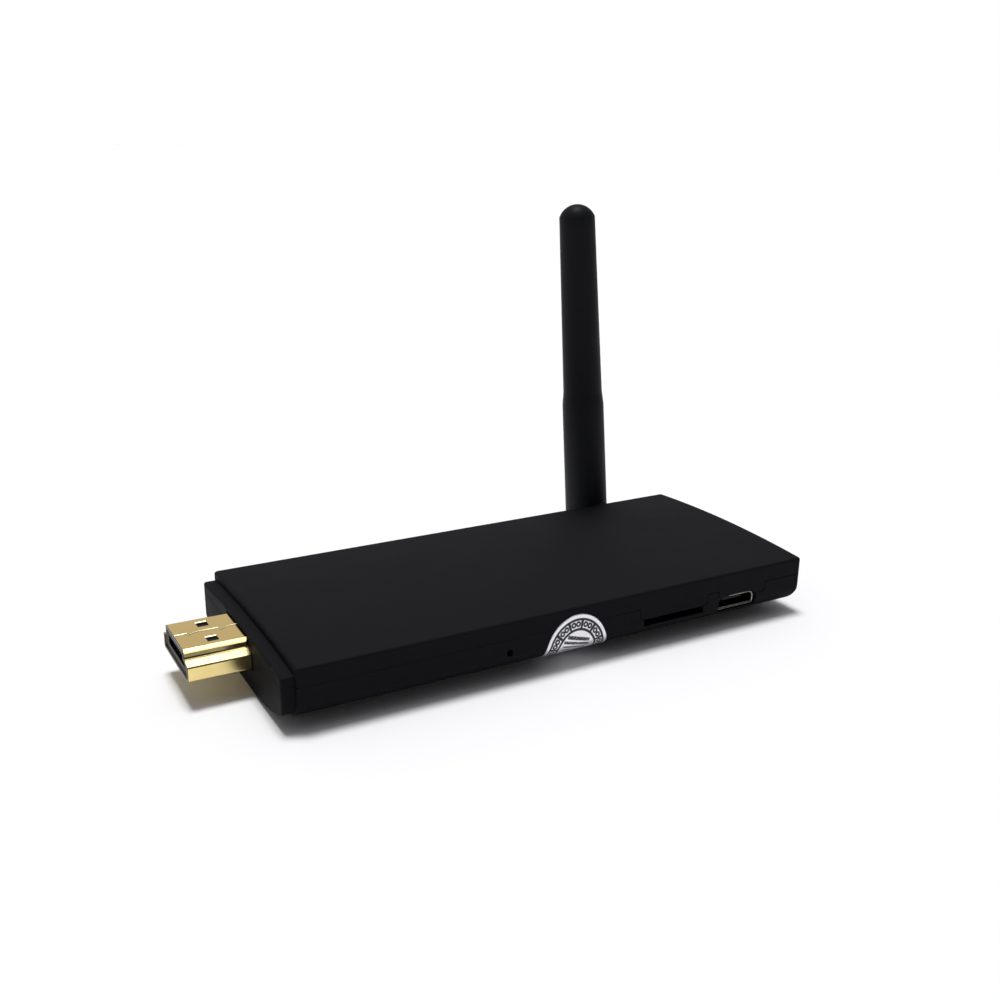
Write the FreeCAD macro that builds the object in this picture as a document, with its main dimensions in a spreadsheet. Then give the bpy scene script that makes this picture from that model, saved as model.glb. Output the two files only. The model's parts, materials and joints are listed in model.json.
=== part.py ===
"""Streaming stick with a full-size video plug and a fold-down antenna, in millimetres.

Frame: +X runs from the plug to the rear end, -Y is the side with the card and power ports,
+Y is the side with the antenna, +Z is up. The origin is the middle of the flat underside.
"""
import FreeCAD, Part
import math
import os
import re
import Sketcher
from FreeCAD import Placement, Rotation, Vector

# Driving dimensions

SIZES = [
    # Housing
    ("case_length", 92.5),
    ("case_width", 40.6),
    ("case_height", 10.65),
    ("top_arch", 275.0),
    ("top_edge_round", 0.45),
    ("plan_round", 0.6),
    ("belly_flat", 12.0),
    ("belly_share", 0.4225),
    ("corner_share", 0.2441),
    ("rear_round", 6.5),
    ("wall", 1.5),
    ("parting_share", 0.6573),
    ("seam_gap", 0.1),
    # Collar round the video plug
    ("nose_reach", 2.0),
    ("nose_side_step", 0.7),
    ("nose_top_share", 0.1268),
    ("nose_bottom_step", 0.4),
    ("nose_edge_round", 0.5),
    ("nose_rim_round", 0.4),
    # Circuit board
    ("board_share", 0.54),
    ("board_thickness", 1.2),
    ("board_front_gap", 3.3),
    ("board_rear_gap", 1.0),
    ("board_side_gap", 0.6),
    ("post_diameter", 4.4),
    ("post_front_inset", 9.75),
    ("post_rear_inset", 22.75),
    ("post_side_inset", 6.7),
    ("post_corner_inset", 6.25),
    ("screw_diameter", 1.6),
    ("screw_length", 4.4),
    ("screw_end_gap", 0.3),
    ("screw_head_diameter", 3.2),
    ("screw_head_height", 0.9),
    ("board_hole_clearance", 0.15),
    ("screw_fit", 0.03),
    # Video plug
    ("plug_width", 13.9),
    ("plug_height", 4.45),
    ("plug_narrow", 10.3),
    ("plug_upright", 1.3),
    ("plug_shoulder_height", 2.4),
    ("plug_reach", 9.5),
    ("plug_tail", 5.0),
    ("plug_offset", 0.6),
    ("plug_sheet", 0.35),
    ("plug_corner_round", 0.4),
    ("plug_clearance", 0.3),
    ("plug_core_setback", 0.25),
    ("plug_contact_setback", 0.4),
    ("plug_core_gap", 0.02),
    ("plug_slot_width", 9.4),
    ("plug_slot_depth", 7.0),
    ("plug_contact_spacing", 1.0),
    ("plug_contact_width", 0.3),
    ("plug_contact_thickness", 0.15),
    ("plug_latch_length", 1.7),
    ("plug_latch_width", 2.0),
    ("plug_latch_setback", 4.05),
    ("plug_latch_spacing", 5.6),
    ("plug_ear_length", 3.0),
    ("plug_ear_root", 0.5),
    ("plug_ear_drop", 1.6),
    ("plug_tail_on_board", 1.6),
    # Power port, a small five-contact socket in the near side
    ("power_rear_inset", 13.95),
    ("power_width", 7.9),
    ("power_height", 2.5),
    ("power_depth", 5.4),
    ("power_setback", 0.85),
    ("power_chamfer", 0.9),
    ("power_sheet", 0.28),
    ("power_lip", 0.1),
    ("power_lip_length", 0.4),
    ("power_corner_round", 0.4),
    ("power_inner_round", 0.28),
    ("power_contact_setback", 0.2),
    ("power_core_length", 1.4),
    ("power_tongue_height", 0.6),
    ("power_tongue_width", 4.2),
    ("power_tongue_setback", 0.7),
    ("power_tongue_drop", 0.75),
    ("power_contact_width", 0.4),
    ("power_contact_thickness", 0.1),
    ("power_contact_spacing", 0.65),
    ("fit_gap", 0.02),
    ("port_clearance", 0.15),
    # Card slot in the near side
    ("card_rear_inset", 27.4),
    ("card_width", 12.2),
    ("card_height", 1.2),
    ("card_drop", 1.95),
    ("card_depth", 14.6),
    ("card_setback", 1.9),
    ("card_socket_width", 13.8),
    ("card_base_height", 0.6),
    ("card_sheet", 0.2),
    ("card_stop", 1.2),
    ("card_contact_width", 0.6),
    ("card_contact_length", 3.2),
    ("card_contact_thickness", 0.15),
    ("card_contact_spacing", 1.1),
    ("relief", 0.1),
    ("tongue_round", 0.8),
    ("card_tongue_overlap", 0.75),
    ("card_tongue_gap", 0.05),
    ("power_tongue_reach", 2.0),
    ("power_notch_drop", 0.45),
    # Full-size four-contact socket in the rear end
    ("host_width", 13.2),
    ("host_height", 5.7),
    ("host_depth", 13.6),
    ("host_share", 0.5258),
    ("host_setback", 1.4),
    ("host_sheet", 0.3),
    ("host_tongue_width", 11.1),
    ("host_tongue_height", 1.8),
    ("host_tongue_setback", 0.8),
    ("host_tongue_drop", 1.0),
    ("host_core_length", 3.0),
    ("host_contact_width", 1.0),
    ("host_contact_thickness", 0.2),
    ("host_contact_length", 7.0),
    ("host_contact_setback", 0.6),
    ("host_contact_spacing", 2.3),
    ("host_cutout_gap", 0.3),
    # Reset switch behind the pinhole
    ("reset_front_inset", 33.9),
    ("reset_drop", 1.01),
    ("pinhole_diameter", 1.1),
    ("switch_inset", 3.6),
    ("switch_width", 3.6),
    ("switch_depth", 2.8),
    ("switch_height", 1.9),
    ("plunger_width", 1.5),
    ("plunger_height", 0.9),
    ("plunger_reach", 0.4),
    ("plunger_stem", 0.9),
    ("plunger_travel", 0.25),
    ("plunger_fit", 0.06),
    # Round seal over the parting line
    ("seal_rear_inset", 46.5),
    ("seal_width", 11.4),
    ("seal_drop_share", 0.93),
    ("seal_inset", 1.1),
    ("seal_share", 0.3052),
    ("seal_tilt", 39.0),
    ("seal_thickness", 0.12),
    ("seal_bond", 0.02),
    # Antenna and its hinge
    ("hinge_rear_inset", 14.7),
    ("hinge_share", 0.4977),
    ("hinge_boss_diameter", 9.2),
    ("hinge_boss_proud", 0.5),
    ("hinge_gap", 0.3),
    ("hinge_inner_boss_diameter", 4.8),
    ("hinge_inner_boss_length", 1.2),
    ("pin_diameter", 2.6),
    ("pin_bore", 1.2),
    ("pin_fit", 0.05),
    ("pin_seat", 3.4),
    ("pin_end_length", 0.7),
    ("pin_groove", 2.0),
    ("washer_diameter", 4.2),
    ("washer_thickness", 0.3),
    ("clip_diameter", 4.0),
    ("clip_thickness", 0.4),
    ("clip_mouth", 1.6),
    ("clip_gap", 0.06),
    ("hinge_relief", 0.15),
    ("antenna_lean", 4.6),
    ("base_diameter", 8.4),
    ("base_neck_diameter", 8.05),
    ("base_length", 26.7),
    ("base_shoulder", 2.6),
    ("base_end_inset", 1.8),
    ("base_end_rise", 1.8),
    ("hub_diameter", 8.2),
    ("hub_proud", 0.1),
    ("whip_diameter", 7.5),
    ("whip_tip_diameter", 6.6),
    ("whip_length", 62.3),
    ("whip_dome", 2.3),
    ("spigot_diameter", 5.0),
    ("spigot_length", 6.0),
    ("core_diameter", 2.6),
    ("core_foot_gap", 1.6),
    ("core_length", 44.0),
    ("core_bevel", 0.3),
    ("core_fit", 0.1),
    ("feed_chamber", 1.5),
    ("lead_diameter", 0.81),
    ("lead_bend", 4.0),
    ("lead_inset", 10.7),
    ("jack_share", 0.0973),
    ("jack_size", 2.6),
    ("jack_height", 0.35),
    ("jack_cap_diameter", 2.2),
    ("jack_cap_height", 0.7),
    ("jack_barrel", 1.6),
    # Chips and other parts on the board
    ("processor_size", 17.0),
    ("processor_height", 1.2),
    ("processor_share", -0.13),
    ("pad_size", 15.0),
    ("pad_thickness", 0.5),
    ("heat_sink_length", 30.0),
    ("heat_sink_width", 21.0),
    ("heat_sink_clearance", 0.55),
    ("heat_sink_groove", 1.2),
    ("heat_sink_web", 0.8),
    ("memory_length", 8.0),
    ("memory_width", 10.5),
    ("memory_height", 1.0),
    ("memory_share", -0.216),
    ("memory_spacing", 10.0),
    ("memory_side", 7.0),
    ("flash_share", 0.038),
    ("flash_side", 2.0),
    ("flash_length", 13.0),
    ("flash_width", 11.5),
    ("power_chip_share", 0.216),
    ("power_chip_inset", 11.8),
    ("power_chip_size", 7.0),
    ("power_chip_height", 0.9),
    ("wireless_share", 0.2108),
    ("wireless_side", 4.5),
    ("wireless_size", 12.0),
    ("wireless_room_share", 0.68),
    ("wireless_sheet", 0.2),
    ("crystal_share", -0.0432),
    ("crystal_inset", 6.1),
    ("crystal_length", 3.2),
    ("crystal_width", 2.5),
    ("crystal_height", 0.8),
    ("inductor_share", 0.135),
    ("inductor_inset", 6.3),
    ("inductor_size", 3.0),
    ("inductor_room_share", 0.59),
    ("inductor_spacing", 4.6),
    ("capacitor_share", -0.3676),
    ("capacitor_inset", 5.3),
    ("capacitor_length", 1.6),
    ("capacitor_width", 0.8),
    ("capacitor_spacing", 3.4),
]

SMALLEST_CUT = 0.001

doc = FreeCAD.newDocument("streaming_stick")
sheet = doc.addObject("Spreadsheet::Sheet", "Sizes")
for row, (alias, number) in enumerate(SIZES, 1):
    sheet.set("A%d" % row, alias)
    sheet.set("B%d" % row, str(number))
    sheet.setAlias("B%d" % row, alias)
doc.recompute()
ALIASES = {alias for alias, number in SIZES}


# Levels and places that follow from the driving dimensions

WORKED_OUT = {
    "belly_rise": "(case_height*belly_share)",
    "corner_round": "(case_height*corner_share)",
    "belly_reach": "(case_width/2 - belly_flat/2 - corner_round)",
    "belly_arch": "((belly_rise^2 + belly_reach^2 - corner_round^2)/(2*(belly_rise - corner_round)))",
    "parting_level": "(case_height*parting_share)",
    "nose_top_step": "(case_height*nose_top_share)",
    "board_level": "(case_height*board_share)",
    "top_room": "(case_height - wall - board_level - board_thickness)",
    "post_front_x": "(-case_length/2 + post_front_inset)",
    "post_rear_x": "(case_length/2 - post_rear_inset)",
    "post_corner_x": "(case_length/2 - post_corner_inset)",
    "post_side_y": "(case_width/2 - post_side_inset)",
    "power_x": "(case_length/2 - power_rear_inset)",
    "power_notch_level": "(board_level - power_notch_drop)",
    "card_x": "(case_length/2 - card_rear_inset)",
    "card_level": "(board_level - card_drop)",
    "card_tongue_level": "(card_level + card_height + card_tongue_gap)",
    "host_level": "(case_height*host_share)",
    "reset_x": "(-case_length/2 + reset_front_inset)",
    "reset_level": "(board_level - reset_drop)",
    "switch_y": "(-case_width/2 + switch_inset)",
    "seal_x": "(case_length/2 - seal_rear_inset)",
    "seal_y": "(-case_width/2 + seal_inset)",
    "seal_level": "(case_height*seal_share)",
    "seal_drop": "(case_height*seal_drop_share)",
    "hinge_x": "(case_length/2 - hinge_rear_inset)",
    "hinge_level": "(case_height*hinge_share)",
    "lead_turn_y": "(case_width/2 - lead_inset)",
    "jack_x": "(case_length*jack_share)",
    "processor_x": "(case_length*processor_share)",
    "heat_sink_height": "(board_level - processor_height - pad_thickness - wall - heat_sink_clearance)",
    "memory_x": "(case_length*memory_share)",
    "flash_x": "(case_length*flash_share)",
    "power_chip_x": "(case_length*power_chip_share)",
    "power_chip_y": "(-case_width/2 + power_chip_inset)",
    "wireless_x": "(case_length*wireless_share)",
    "wireless_height": "(top_room*wireless_room_share)",
    "crystal_x": "(case_length*crystal_share)",
    "crystal_y": "(case_width/2 - crystal_inset)",
    "inductor_x": "(case_length*inductor_share)",
    "inductor_y": "(-case_width/2 + inductor_inset)",
    "inductor_height": "(top_room*inductor_room_share)",
    "capacitor_x": "(case_length*capacitor_share)",
    "capacitor_y": "(-case_width/2 + capacitor_inset)",
}


def spelled_out(text):
    """Write each worked-out name as the driving dimensions that it comes from."""
    longer = re.sub(r"[a-z_]+", lambda word: WORKED_OUT.get(word[0], word[0]), text)
    return longer if longer == text else spelled_out(longer)


def linked(text):
    """Write the sheet's name before each alias, so that other objects can use the expression."""
    return re.sub(r"[a-z_]+", lambda word: ("Sizes." if word[0] in ALIASES else "") + word[0],
                  spelled_out(text))


def value(text):
    """The number that an expression gives now, for the first shape of a sketch."""
    return float(sheet.evalExpression(spelled_out(text)))


def centred_row(count):
    """Steps from the middle of an even row: -1, 0 and 1 for three."""
    return [number - (count - 1) / 2 for number in range(count)]


# Helpers for sketches, features and booleans

def body(name, label=None):
    """A new body; the label is the node's name when the body is a finished piece."""
    new = doc.addObject("PartDesign::Body", name)
    new.Label = label or name
    return new


def sketch(owner, plane, name, offset="0"):
    """A sketch on one of the body's own planes, moved along the plane's normal."""
    new = owner.newObject("Sketcher::SketchObject", name)
    support = [item for item in owner.Origin.OriginFeatures if item.Role == plane][0]
    new.AttachmentSupport = [(support, "")]
    new.MapMode = "FlatFace"
    new.setExpression("AttachmentOffset.Base.z", linked(offset))
    return new


def constrain(sk, kind, *places, size=None):
    """Add a constraint; its size, if any, is an expression of the sheet."""
    if size is None:
        return sk.addConstraint(Sketcher.Constraint(kind, *places))
    index = sk.addConstraint(Sketcher.Constraint(kind, *places, value(size)))
    sk.setExpression("Constraints[%d]" % index, linked(size))
    return index


def pin_point(sk, edge, end, x, y):
    """Hold one end of an edge at x and y, both expressions."""
    constrain(sk, "DistanceX", -1, 1, edge, end, size=x)
    constrain(sk, "DistanceY", -1, 1, edge, end, size=y)


def polygon(sk, corners):
    """A closed outline of straight lines through corners given as pairs of expressions."""
    spots = [Vector(value(x), value(y), 0) for x, y in corners]
    count = len(spots)
    edges = [sk.addGeometry(Part.LineSegment(spots[i], spots[(i + 1) % count]), False) for i in range(count)]
    for i in range(count):
        constrain(sk, "Coincident", edges[i], 2, edges[(i + 1) % count], 1)
    for edge, (x, y) in zip(edges, corners):
        pin_point(sk, edge, 1, x, y)
    return edges


def rectangle(sk, x_low, x_high, y_low, y_high):
    """A rectangle whose four sides lie at the given expressions."""
    return polygon(sk, [(x_low, y_low), (x_high, y_low), (x_high, y_high), (x_low, y_high)])


def rounded_rectangle(sk, x_low, x_high, y_low, y_high, radius):
    """A rectangle with four equal round corners."""
    x0, x1, y0, y1, r = (value(text) for text in (x_low, x_high, y_low, y_high, radius))
    turns = [(x1 - r, y0 + r, -90), (x1 - r, y1 - r, 0), (x0 + r, y1 - r, 90), (x0 + r, y0 + r, 180)]
    arcs = []
    for x, y, start in turns:
        circle = Part.Circle(Vector(x, y, 0), Vector(0, 0, 1), r)
        arcs.append(sk.addGeometry(Part.ArcOfCircle(circle, math.radians(start), math.radians(start + 90))))
    ends = [(x1, y0 + r, x1, y1 - r), (x1 - r, y1, x0 + r, y1),
            (x0, y1 - r, x0, y0 + r), (x0 + r, y0, x1 - r, y0)]
    lines = [sk.addGeometry(Part.LineSegment(Vector(a, b, 0), Vector(c, d, 0))) for a, b, c, d in ends]
    for i in range(4):
        constrain(sk, "Tangent", arcs[i], 2, lines[i], 1)
        constrain(sk, "Tangent", lines[i], 2, arcs[(i + 1) % 4], 1)
        constrain(sk, "Radius", arcs[i], size=radius)
    constrain(sk, "DistanceX", -1, 1, lines[0], 1, size=x_high)
    constrain(sk, "DistanceY", -1, 1, lines[1], 1, size=y_high)
    constrain(sk, "DistanceX", -1, 1, lines[2], 1, size=x_low)
    constrain(sk, "DistanceY", -1, 1, lines[3], 1, size=y_low)
    for line, kind in zip(lines, ("Vertical", "Horizontal", "Vertical", "Horizontal")):
        constrain(sk, kind, line)
    return lines


def circle(sk, x, y, diameter):
    """A circle at x and y, both expressions."""
    edge = sk.addGeometry(Part.Circle(Vector(value(x), value(y), 0), Vector(0, 0, 1), value(diameter) / 2))
    pin_point(sk, edge, 3, x, y)
    constrain(sk, "Diameter", edge, size=diameter)
    return edge


def pad(owner, profile, length, symmetric=False):
    """Raise a profile by a length, along the sketch's normal or to both sides."""
    new = owner.newObject("PartDesign::Pad", profile.Name + "_pad")
    new.Profile = profile
    new.setExpression("Length", linked(length))
    new.SideType = "Symmetric" if symmetric else "One side"
    owner.Tip = new
    doc.recompute()
    return new


def pocket(owner, profile, length, symmetric=False, reverse=False):
    """Cut a profile from the body and make sure that the cut took something away."""
    before = owner.Tip.Shape.Volume
    new = owner.newObject("PartDesign::Pocket", profile.Name + "_pocket")
    new.Profile = profile
    new.setExpression("Length", linked(length))
    new.SideType = "Symmetric" if symmetric else "One side"
    new.Reversed = reverse
    owner.Tip = new
    doc.recompute()
    if new.Shape.isNull() or before - new.Shape.Volume < SMALLEST_CUT:
        raise RuntimeError("nothing was cut by " + new.Name)
    return new


def round_edges(owner, edges, radius):
    """Fillet the named edges of the body's tip."""
    base = owner.Tip
    new = owner.newObject("PartDesign::Fillet", owner.Name + "_round%d" % len(owner.Group))
    new.Base = (base, edges)
    new.setExpression("Radius", linked(radius))
    owner.Tip = new
    doc.recompute()
    return new


def edges_where(shape, test):
    """Names of the edges whose middle point and direction pass a test."""
    names = []
    for number, edge in enumerate(shape.Edges, 1):
        middle = edge.valueAt((edge.FirstParameter + edge.LastParameter) / 2)
        span = edge.Vertexes[-1].Point - edge.Vertexes[0].Point
        if test(middle, span):
            names.append("Edge%d" % number)
    return names


def box(name, x, y, z, length, width, height, label=None):
    """A block with its lowest corner at x, y, z; every value is an expression."""
    new = doc.addObject("Part::Box", name)
    for prop, text in (("Length", length), ("Width", width), ("Height", height)):
        new.setExpression(prop, linked(text))
    for axis, text in zip("xyz", (x, y, z)):
        new.setExpression("Placement.Base." + axis, linked(text))
    new.Label = label or name
    return new


def centred_box(name, x, y, z, length, width, height, label=None):
    """A block centred on x and y that stands on z."""
    return box(name, "%s - (%s)/2" % (x, length), "%s - (%s)/2" % (y, width), z, length, width, height, label)


def cylinder(name, x, y, z, diameter, height, direction=Vector(0, 0, 1), label=None):
    """A cylinder from a point along a direction."""
    new = doc.addObject("Part::Cylinder", name)
    new.setExpression("Radius", linked("(%s)/2" % diameter))
    new.setExpression("Height", linked(height))
    new.Placement = Placement(Vector(), Rotation(Vector(0, 0, 1), direction))
    for axis, text in zip("xyz", (x, y, z)):
        new.setExpression("Placement.Base." + axis, linked(text))
    new.Label = label or name
    return new


def cut(name, base, tool, label=None):
    new = doc.addObject("Part::Cut", name)
    new.Base = base
    new.Tool = tool
    new.Label = label or name
    return new


def cut_all(name, base, tools, label=None):
    """Take several tools from a base, one after the other."""
    for number, tool in enumerate(tools[:-1]):
        base = cut("%s_cut%d" % (name, number), base, tool)
    return cut(name, base, tools[-1], label)


def common(name, base, tool, label=None):
    new = doc.addObject("Part::Common", name)
    new.Base = base
    new.Tool = tool
    new.Label = label or name
    return new


def fuse(name, pieces, label=None):
    new = doc.addObject("Part::MultiFuse", name)
    new.Shapes = pieces
    new.Label = label or name
    return new


def group(name, pieces, label=None):
    """Separate solids kept together as one piece."""
    new = doc.addObject("Part::Compound", name)
    new.Links = pieces
    new.Label = label or name
    return new


# Places that several pieces share, as expressions

FRONT = "-case_length/2"
REAR = "case_length/2"
NOSE_FRONT = "-case_length/2 - nose_reach"
PLUG_LEVEL = "board_level + board_thickness/2 - plug_height/2"
PLUG_TIP = "-case_length/2 - nose_reach - plug_reach"
PLUG_END = "-case_length/2 + plug_tail - nose_reach"
BOARD_TOP = "board_level + board_thickness"
BOARD_FRONT = "-case_length/2 + board_front_gap"
BOARD_REAR = "case_length/2 - wall - board_rear_gap"
POWER_FACE = "-case_width/2 + power_setback"
HOST_FACE = "case_length/2 - host_setback"
HOST_TONGUE_LOW = "host_level + host_height/2 - host_sheet - host_tongue_drop - host_tongue_height"
CARD_FACE = "-case_width/2 + card_setback"
CARD_LEFT = "card_x - card_socket_width/2"
WHIP_HUB_FACE = "case_width/2 + hinge_boss_proud + hinge_gap"
WHIP_Y = "case_width/2 + hinge_boss_proud + hinge_gap + hub_proud + base_diameter/2"
INNER_BOSS_FACE = "case_width/2 - wall - hinge_inner_boss_length"
CLIP_START = "case_width/2 - wall - hinge_inner_boss_length - washer_thickness - clip_gap - clip_thickness"
PIN_END = ("case_width/2 - wall - hinge_inner_boss_length - washer_thickness - clip_gap - clip_thickness"
           " - pin_end_length")
ALONG_Y = Vector(0, 1, 0)
AGAINST_Y = Vector(0, -1, 0)


# Housing form: an arched top, upright sides, and an underside that curves up from a flat keel

def section_outline(sk, side, bottom, top):
    """Half-width, bottom level and top level are inset by the three expressions."""
    half = "case_width/2 - (%s)" % side
    belly = "belly_arch - (%s)" % bottom
    corner = "corner_round - (%s)" % side
    w, f = value(half), value("belly_flat/2")
    floor, big, small = value(bottom), value(belly), value(corner)
    crown, arch = value("case_height - (%s)" % top), value("top_arch")
    belly_centre = Vector(f, floor + big, 0)
    drop = math.sqrt((big - small) ** 2 - (w - small - f) ** 2)
    corner_centre = Vector(w - small, floor + big - drop, 0)
    turn = math.atan2(-drop, w - small - f)
    arch_centre = Vector(0, crown - arch, 0)
    lean = math.acos(w / arch)
    shoulder = arch_centre.y + arch * math.sin(lean)

    def arc(centre, radius, start, end):
        full = Part.Circle(centre, Vector(0, 0, 1), radius)
        return sk.addGeometry(Part.ArcOfCircle(full, start, end))

    def mirrored(point):
        return Vector(-point.x, point.y, 0)

    keel = sk.addGeometry(Part.LineSegment(Vector(-f, floor, 0), Vector(f, floor, 0)))
    belly_right = arc(belly_centre, big, -math.pi / 2, turn)
    corner_right = arc(corner_centre, small, turn, 0)
    side_right = sk.addGeometry(Part.LineSegment(Vector(w, corner_centre.y, 0), Vector(w, shoulder, 0)))
    roof = arc(arch_centre, arch, lean, math.pi - lean)
    side_left = sk.addGeometry(Part.LineSegment(Vector(-w, shoulder, 0), Vector(-w, corner_centre.y, 0)))
    corner_left = arc(mirrored(corner_centre), small, math.pi, math.pi - turn)
    belly_left = arc(mirrored(belly_centre), big, math.pi - turn, 3 * math.pi / 2)
    chain = [keel, belly_right, corner_right, side_right, roof, side_left, corner_left, belly_left]
    for here, after in zip(chain, chain[1:] + chain[:1]):
        kind = "Coincident" if roof in (here, after) else "Tangent"
        constrain(sk, kind, here, 2, after, 1)
    pin_point(sk, keel, 1, "-belly_flat/2", bottom)
    constrain(sk, "DistanceX", -1, 1, keel, 2, size="belly_flat/2")
    constrain(sk, "Horizontal", keel)
    for number in (belly_right, belly_left):
        constrain(sk, "Radius", number, size=belly)
    for number in (corner_right, corner_left):
        constrain(sk, "Radius", number, size=corner)
    constrain(sk, "DistanceX", -1, 1, side_right, 1, size=half)
    constrain(sk, "DistanceX", -1, 1, side_left, 1, size="-(%s)" % half)
    constrain(sk, "Vertical", side_right)
    constrain(sk, "Vertical", side_left)
    constrain(sk, "Radius", roof, size="top_arch")
    pin_point(sk, roof, 3, "0", "case_height - (%s) - top_arch" % top)


def housing_form(name, x_low, x_high, side, bottom, top, plan_radius, rear=None):
    """A plan outline raised to full height and trimmed to the section of the housing."""
    form = body(name)
    plan = sketch(form, "XY_Plane", name + "_plan", "-wall")
    near = "-case_width/2 + (%s)" % side
    far = "case_width/2 - (%s)" % side
    rounded_rectangle(plan, x_low, x_high, near, far, plan_radius)
    pad(form, plan, "case_height + 2*wall")
    trim = sketch(form, "YZ_Plane", name + "_section")
    rectangle(trim, "-case_width", "case_width", "-case_height", "2*case_height")
    section_outline(trim, side, bottom, top)
    pocket(form, trim, "2*case_length", symmetric=True)
    if rear is not None:
        round_rear(form, name, x_high, bottom, rear)
    return form


def round_rear(form, name, x_high, bottom, radius):
    """Curve the underside up into the rear end wall."""
    sk = sketch(form, "XZ_Plane", name + "_rear")
    x, z, r = value(x_high), value(bottom), value(radius)
    quarter = Part.Circle(Vector(x - r, z + r, 0), Vector(0, 0, 1), r)
    arc = sk.addGeometry(Part.ArcOfCircle(quarter, -math.pi / 2, 0))
    spots = [Vector(x, z + r, 0), Vector(x + r, z + r, 0), Vector(x + r, z - r, 0), Vector(x - r, z - r, 0),
             Vector(x - r, z, 0)]
    lines = [sk.addGeometry(Part.LineSegment(a, b)) for a, b in zip(spots, spots[1:])]
    for here, after in zip(lines, lines[1:]):
        constrain(sk, "Coincident", here, 2, after, 1)
    constrain(sk, "Coincident", arc, 2, lines[0], 1)
    constrain(sk, "Coincident", lines[-1], 2, arc, 1)
    pin_point(sk, lines[0], 1, x_high, "%s + %s" % (bottom, radius))
    pin_point(sk, lines[1], 1, "%s + %s" % (x_high, radius), "%s + %s" % (bottom, radius))
    pin_point(sk, lines[2], 1, "%s + %s" % (x_high, radius), "%s - (%s)" % (bottom, radius))
    pin_point(sk, lines[3], 1, "%s - (%s)" % (x_high, radius), "%s - (%s)" % (bottom, radius))
    pin_point(sk, lines[3], 2, "%s - (%s)" % (x_high, radius), bottom)
    constrain(sk, "Radius", arc, size=radius)
    pocket(form, sk, "2*case_width", symmetric=True)


case_outer = housing_form("case_outer", FRONT, REAR, "0", "0", "0", "plan_round", "rear_round")
roof_edges = edges_where(case_outer.Tip.Shape, lambda p, s: p.z > value("case_height - 1") and s.z ** 2 < 1)
round_edges(case_outer, roof_edges, "top_edge_round")

nose_outer = housing_form("nose_outer", NOSE_FRONT, "-case_length/2 + wall", "nose_side_step",
                          "nose_bottom_step", "nose_top_step", "nose_edge_round")
rim_end = value(NOSE_FRONT + " + nose_edge_round")
nose_rim = edges_where(nose_outer.Tip.Shape,
                       lambda p, s: p.x < rim_end + 0.1 and p.z > value("parting_level") and s.z ** 2 < 1)
round_edges(nose_outer, nose_rim, "nose_rim_round")

case_inner = housing_form("case_inner", "-case_length/2 + wall", "case_length/2 - wall",
                          "wall", "wall", "wall", "plan_round", "rear_round - wall")

hinge_boss = cylinder("hinge_boss", "hinge_x", "case_width/2 - wall", "hinge_level", "hinge_boss_diameter",
                      "wall + hinge_boss_proud", ALONG_Y)
outer_form = fuse("outer_form", [case_outer, nose_outer, hinge_boss])
shell_form = cut("shell_form", outer_form, case_inner)


# Openings through the walls

# Where a slope meets an upright, the corner moves by this share of what the outline grows
CORNER_SHIFT = 0.4


def plug_outline(sk, grow):
    """The video plug's outline, narrow side up, seen along the stick and grown by an expression."""
    def side(width, sign):
        return "plug_offset %s (%s/2 + (%s))" % (sign, width, grow)

    low = "%s - (%s)" % (PLUG_LEVEL, grow)
    rise = "(%s)*%s" % (grow, CORNER_SHIFT)
    shoulder = "%s + plug_shoulder_height + %s" % (PLUG_LEVEL, rise)
    upright = "%s + plug_height - plug_upright + %s" % (PLUG_LEVEL, rise)
    high = "%s + plug_height + (%s)" % (PLUG_LEVEL, grow)
    right = [(side("plug_width", "+"), low), (side("plug_width", "+"), shoulder),
             (side("plug_narrow", "+"), upright), (side("plug_narrow", "+"), high)]
    left = [(side("plug_narrow", "-"), high), (side("plug_narrow", "-"), upright),
            (side("plug_width", "-"), shoulder), (side("plug_width", "-"), low)]
    polygon(sk, right + left)


def plug_prism(name, start, length, grow, radius=None, label=None):
    """The plug's outline run along the stick from start, with its lengthwise edges rounded."""
    form = body(name, label)
    outline = sketch(form, "YZ_Plane", name + "_outline", start)
    plug_outline(outline, grow)
    pad(form, outline, length)
    if radius is not None:
        long_edges = edges_where(form.Tip.Shape, lambda p, s: abs(s.x) > 0.9 * value(length))
        round_edges(form, long_edges, radius)
    return form


plug_hole = plug_prism("plug_hole", "%s - 1" % NOSE_FRONT, "nose_reach + wall + 2", "plug_clearance",
                       "plug_corner_round")


def power_outline(sk, grow):
    """The power socket's outline, chamfered towards the board, seen from the near side."""
    left = "power_x - power_width/2 - (%s)" % grow
    right = "power_x + power_width/2 + (%s)" % grow
    top = "board_level + (%s)" % grow
    bottom = "board_level - power_height - (%s)" % grow
    slope = "power_chamfer + (%s)*%s" % (grow, CORNER_SHIFT)
    polygon(sk, [(left, bottom), (right, bottom), (right, "%s - (%s)" % (top, slope)),
                 ("%s - (%s)" % (right, slope), top), ("%s + (%s)" % (left, slope), top),
                 (left, "%s - (%s)" % (top, slope))])


def power_prism(name, face, depth, grow, radius, label=None):
    """The socket's outline run inwards from a plane at face, with its edges rounded."""
    form = body(name, label)
    outline = sketch(form, "XZ_Plane", name + "_outline", "-(%s) - (%s)" % (face, depth))
    power_outline(outline, grow)
    pad(form, outline, depth)
    long_edges = edges_where(form.Tip.Shape, lambda p, s: abs(s.y) > 0.9 * value(depth))
    round_edges(form, long_edges, radius)
    return form


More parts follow.
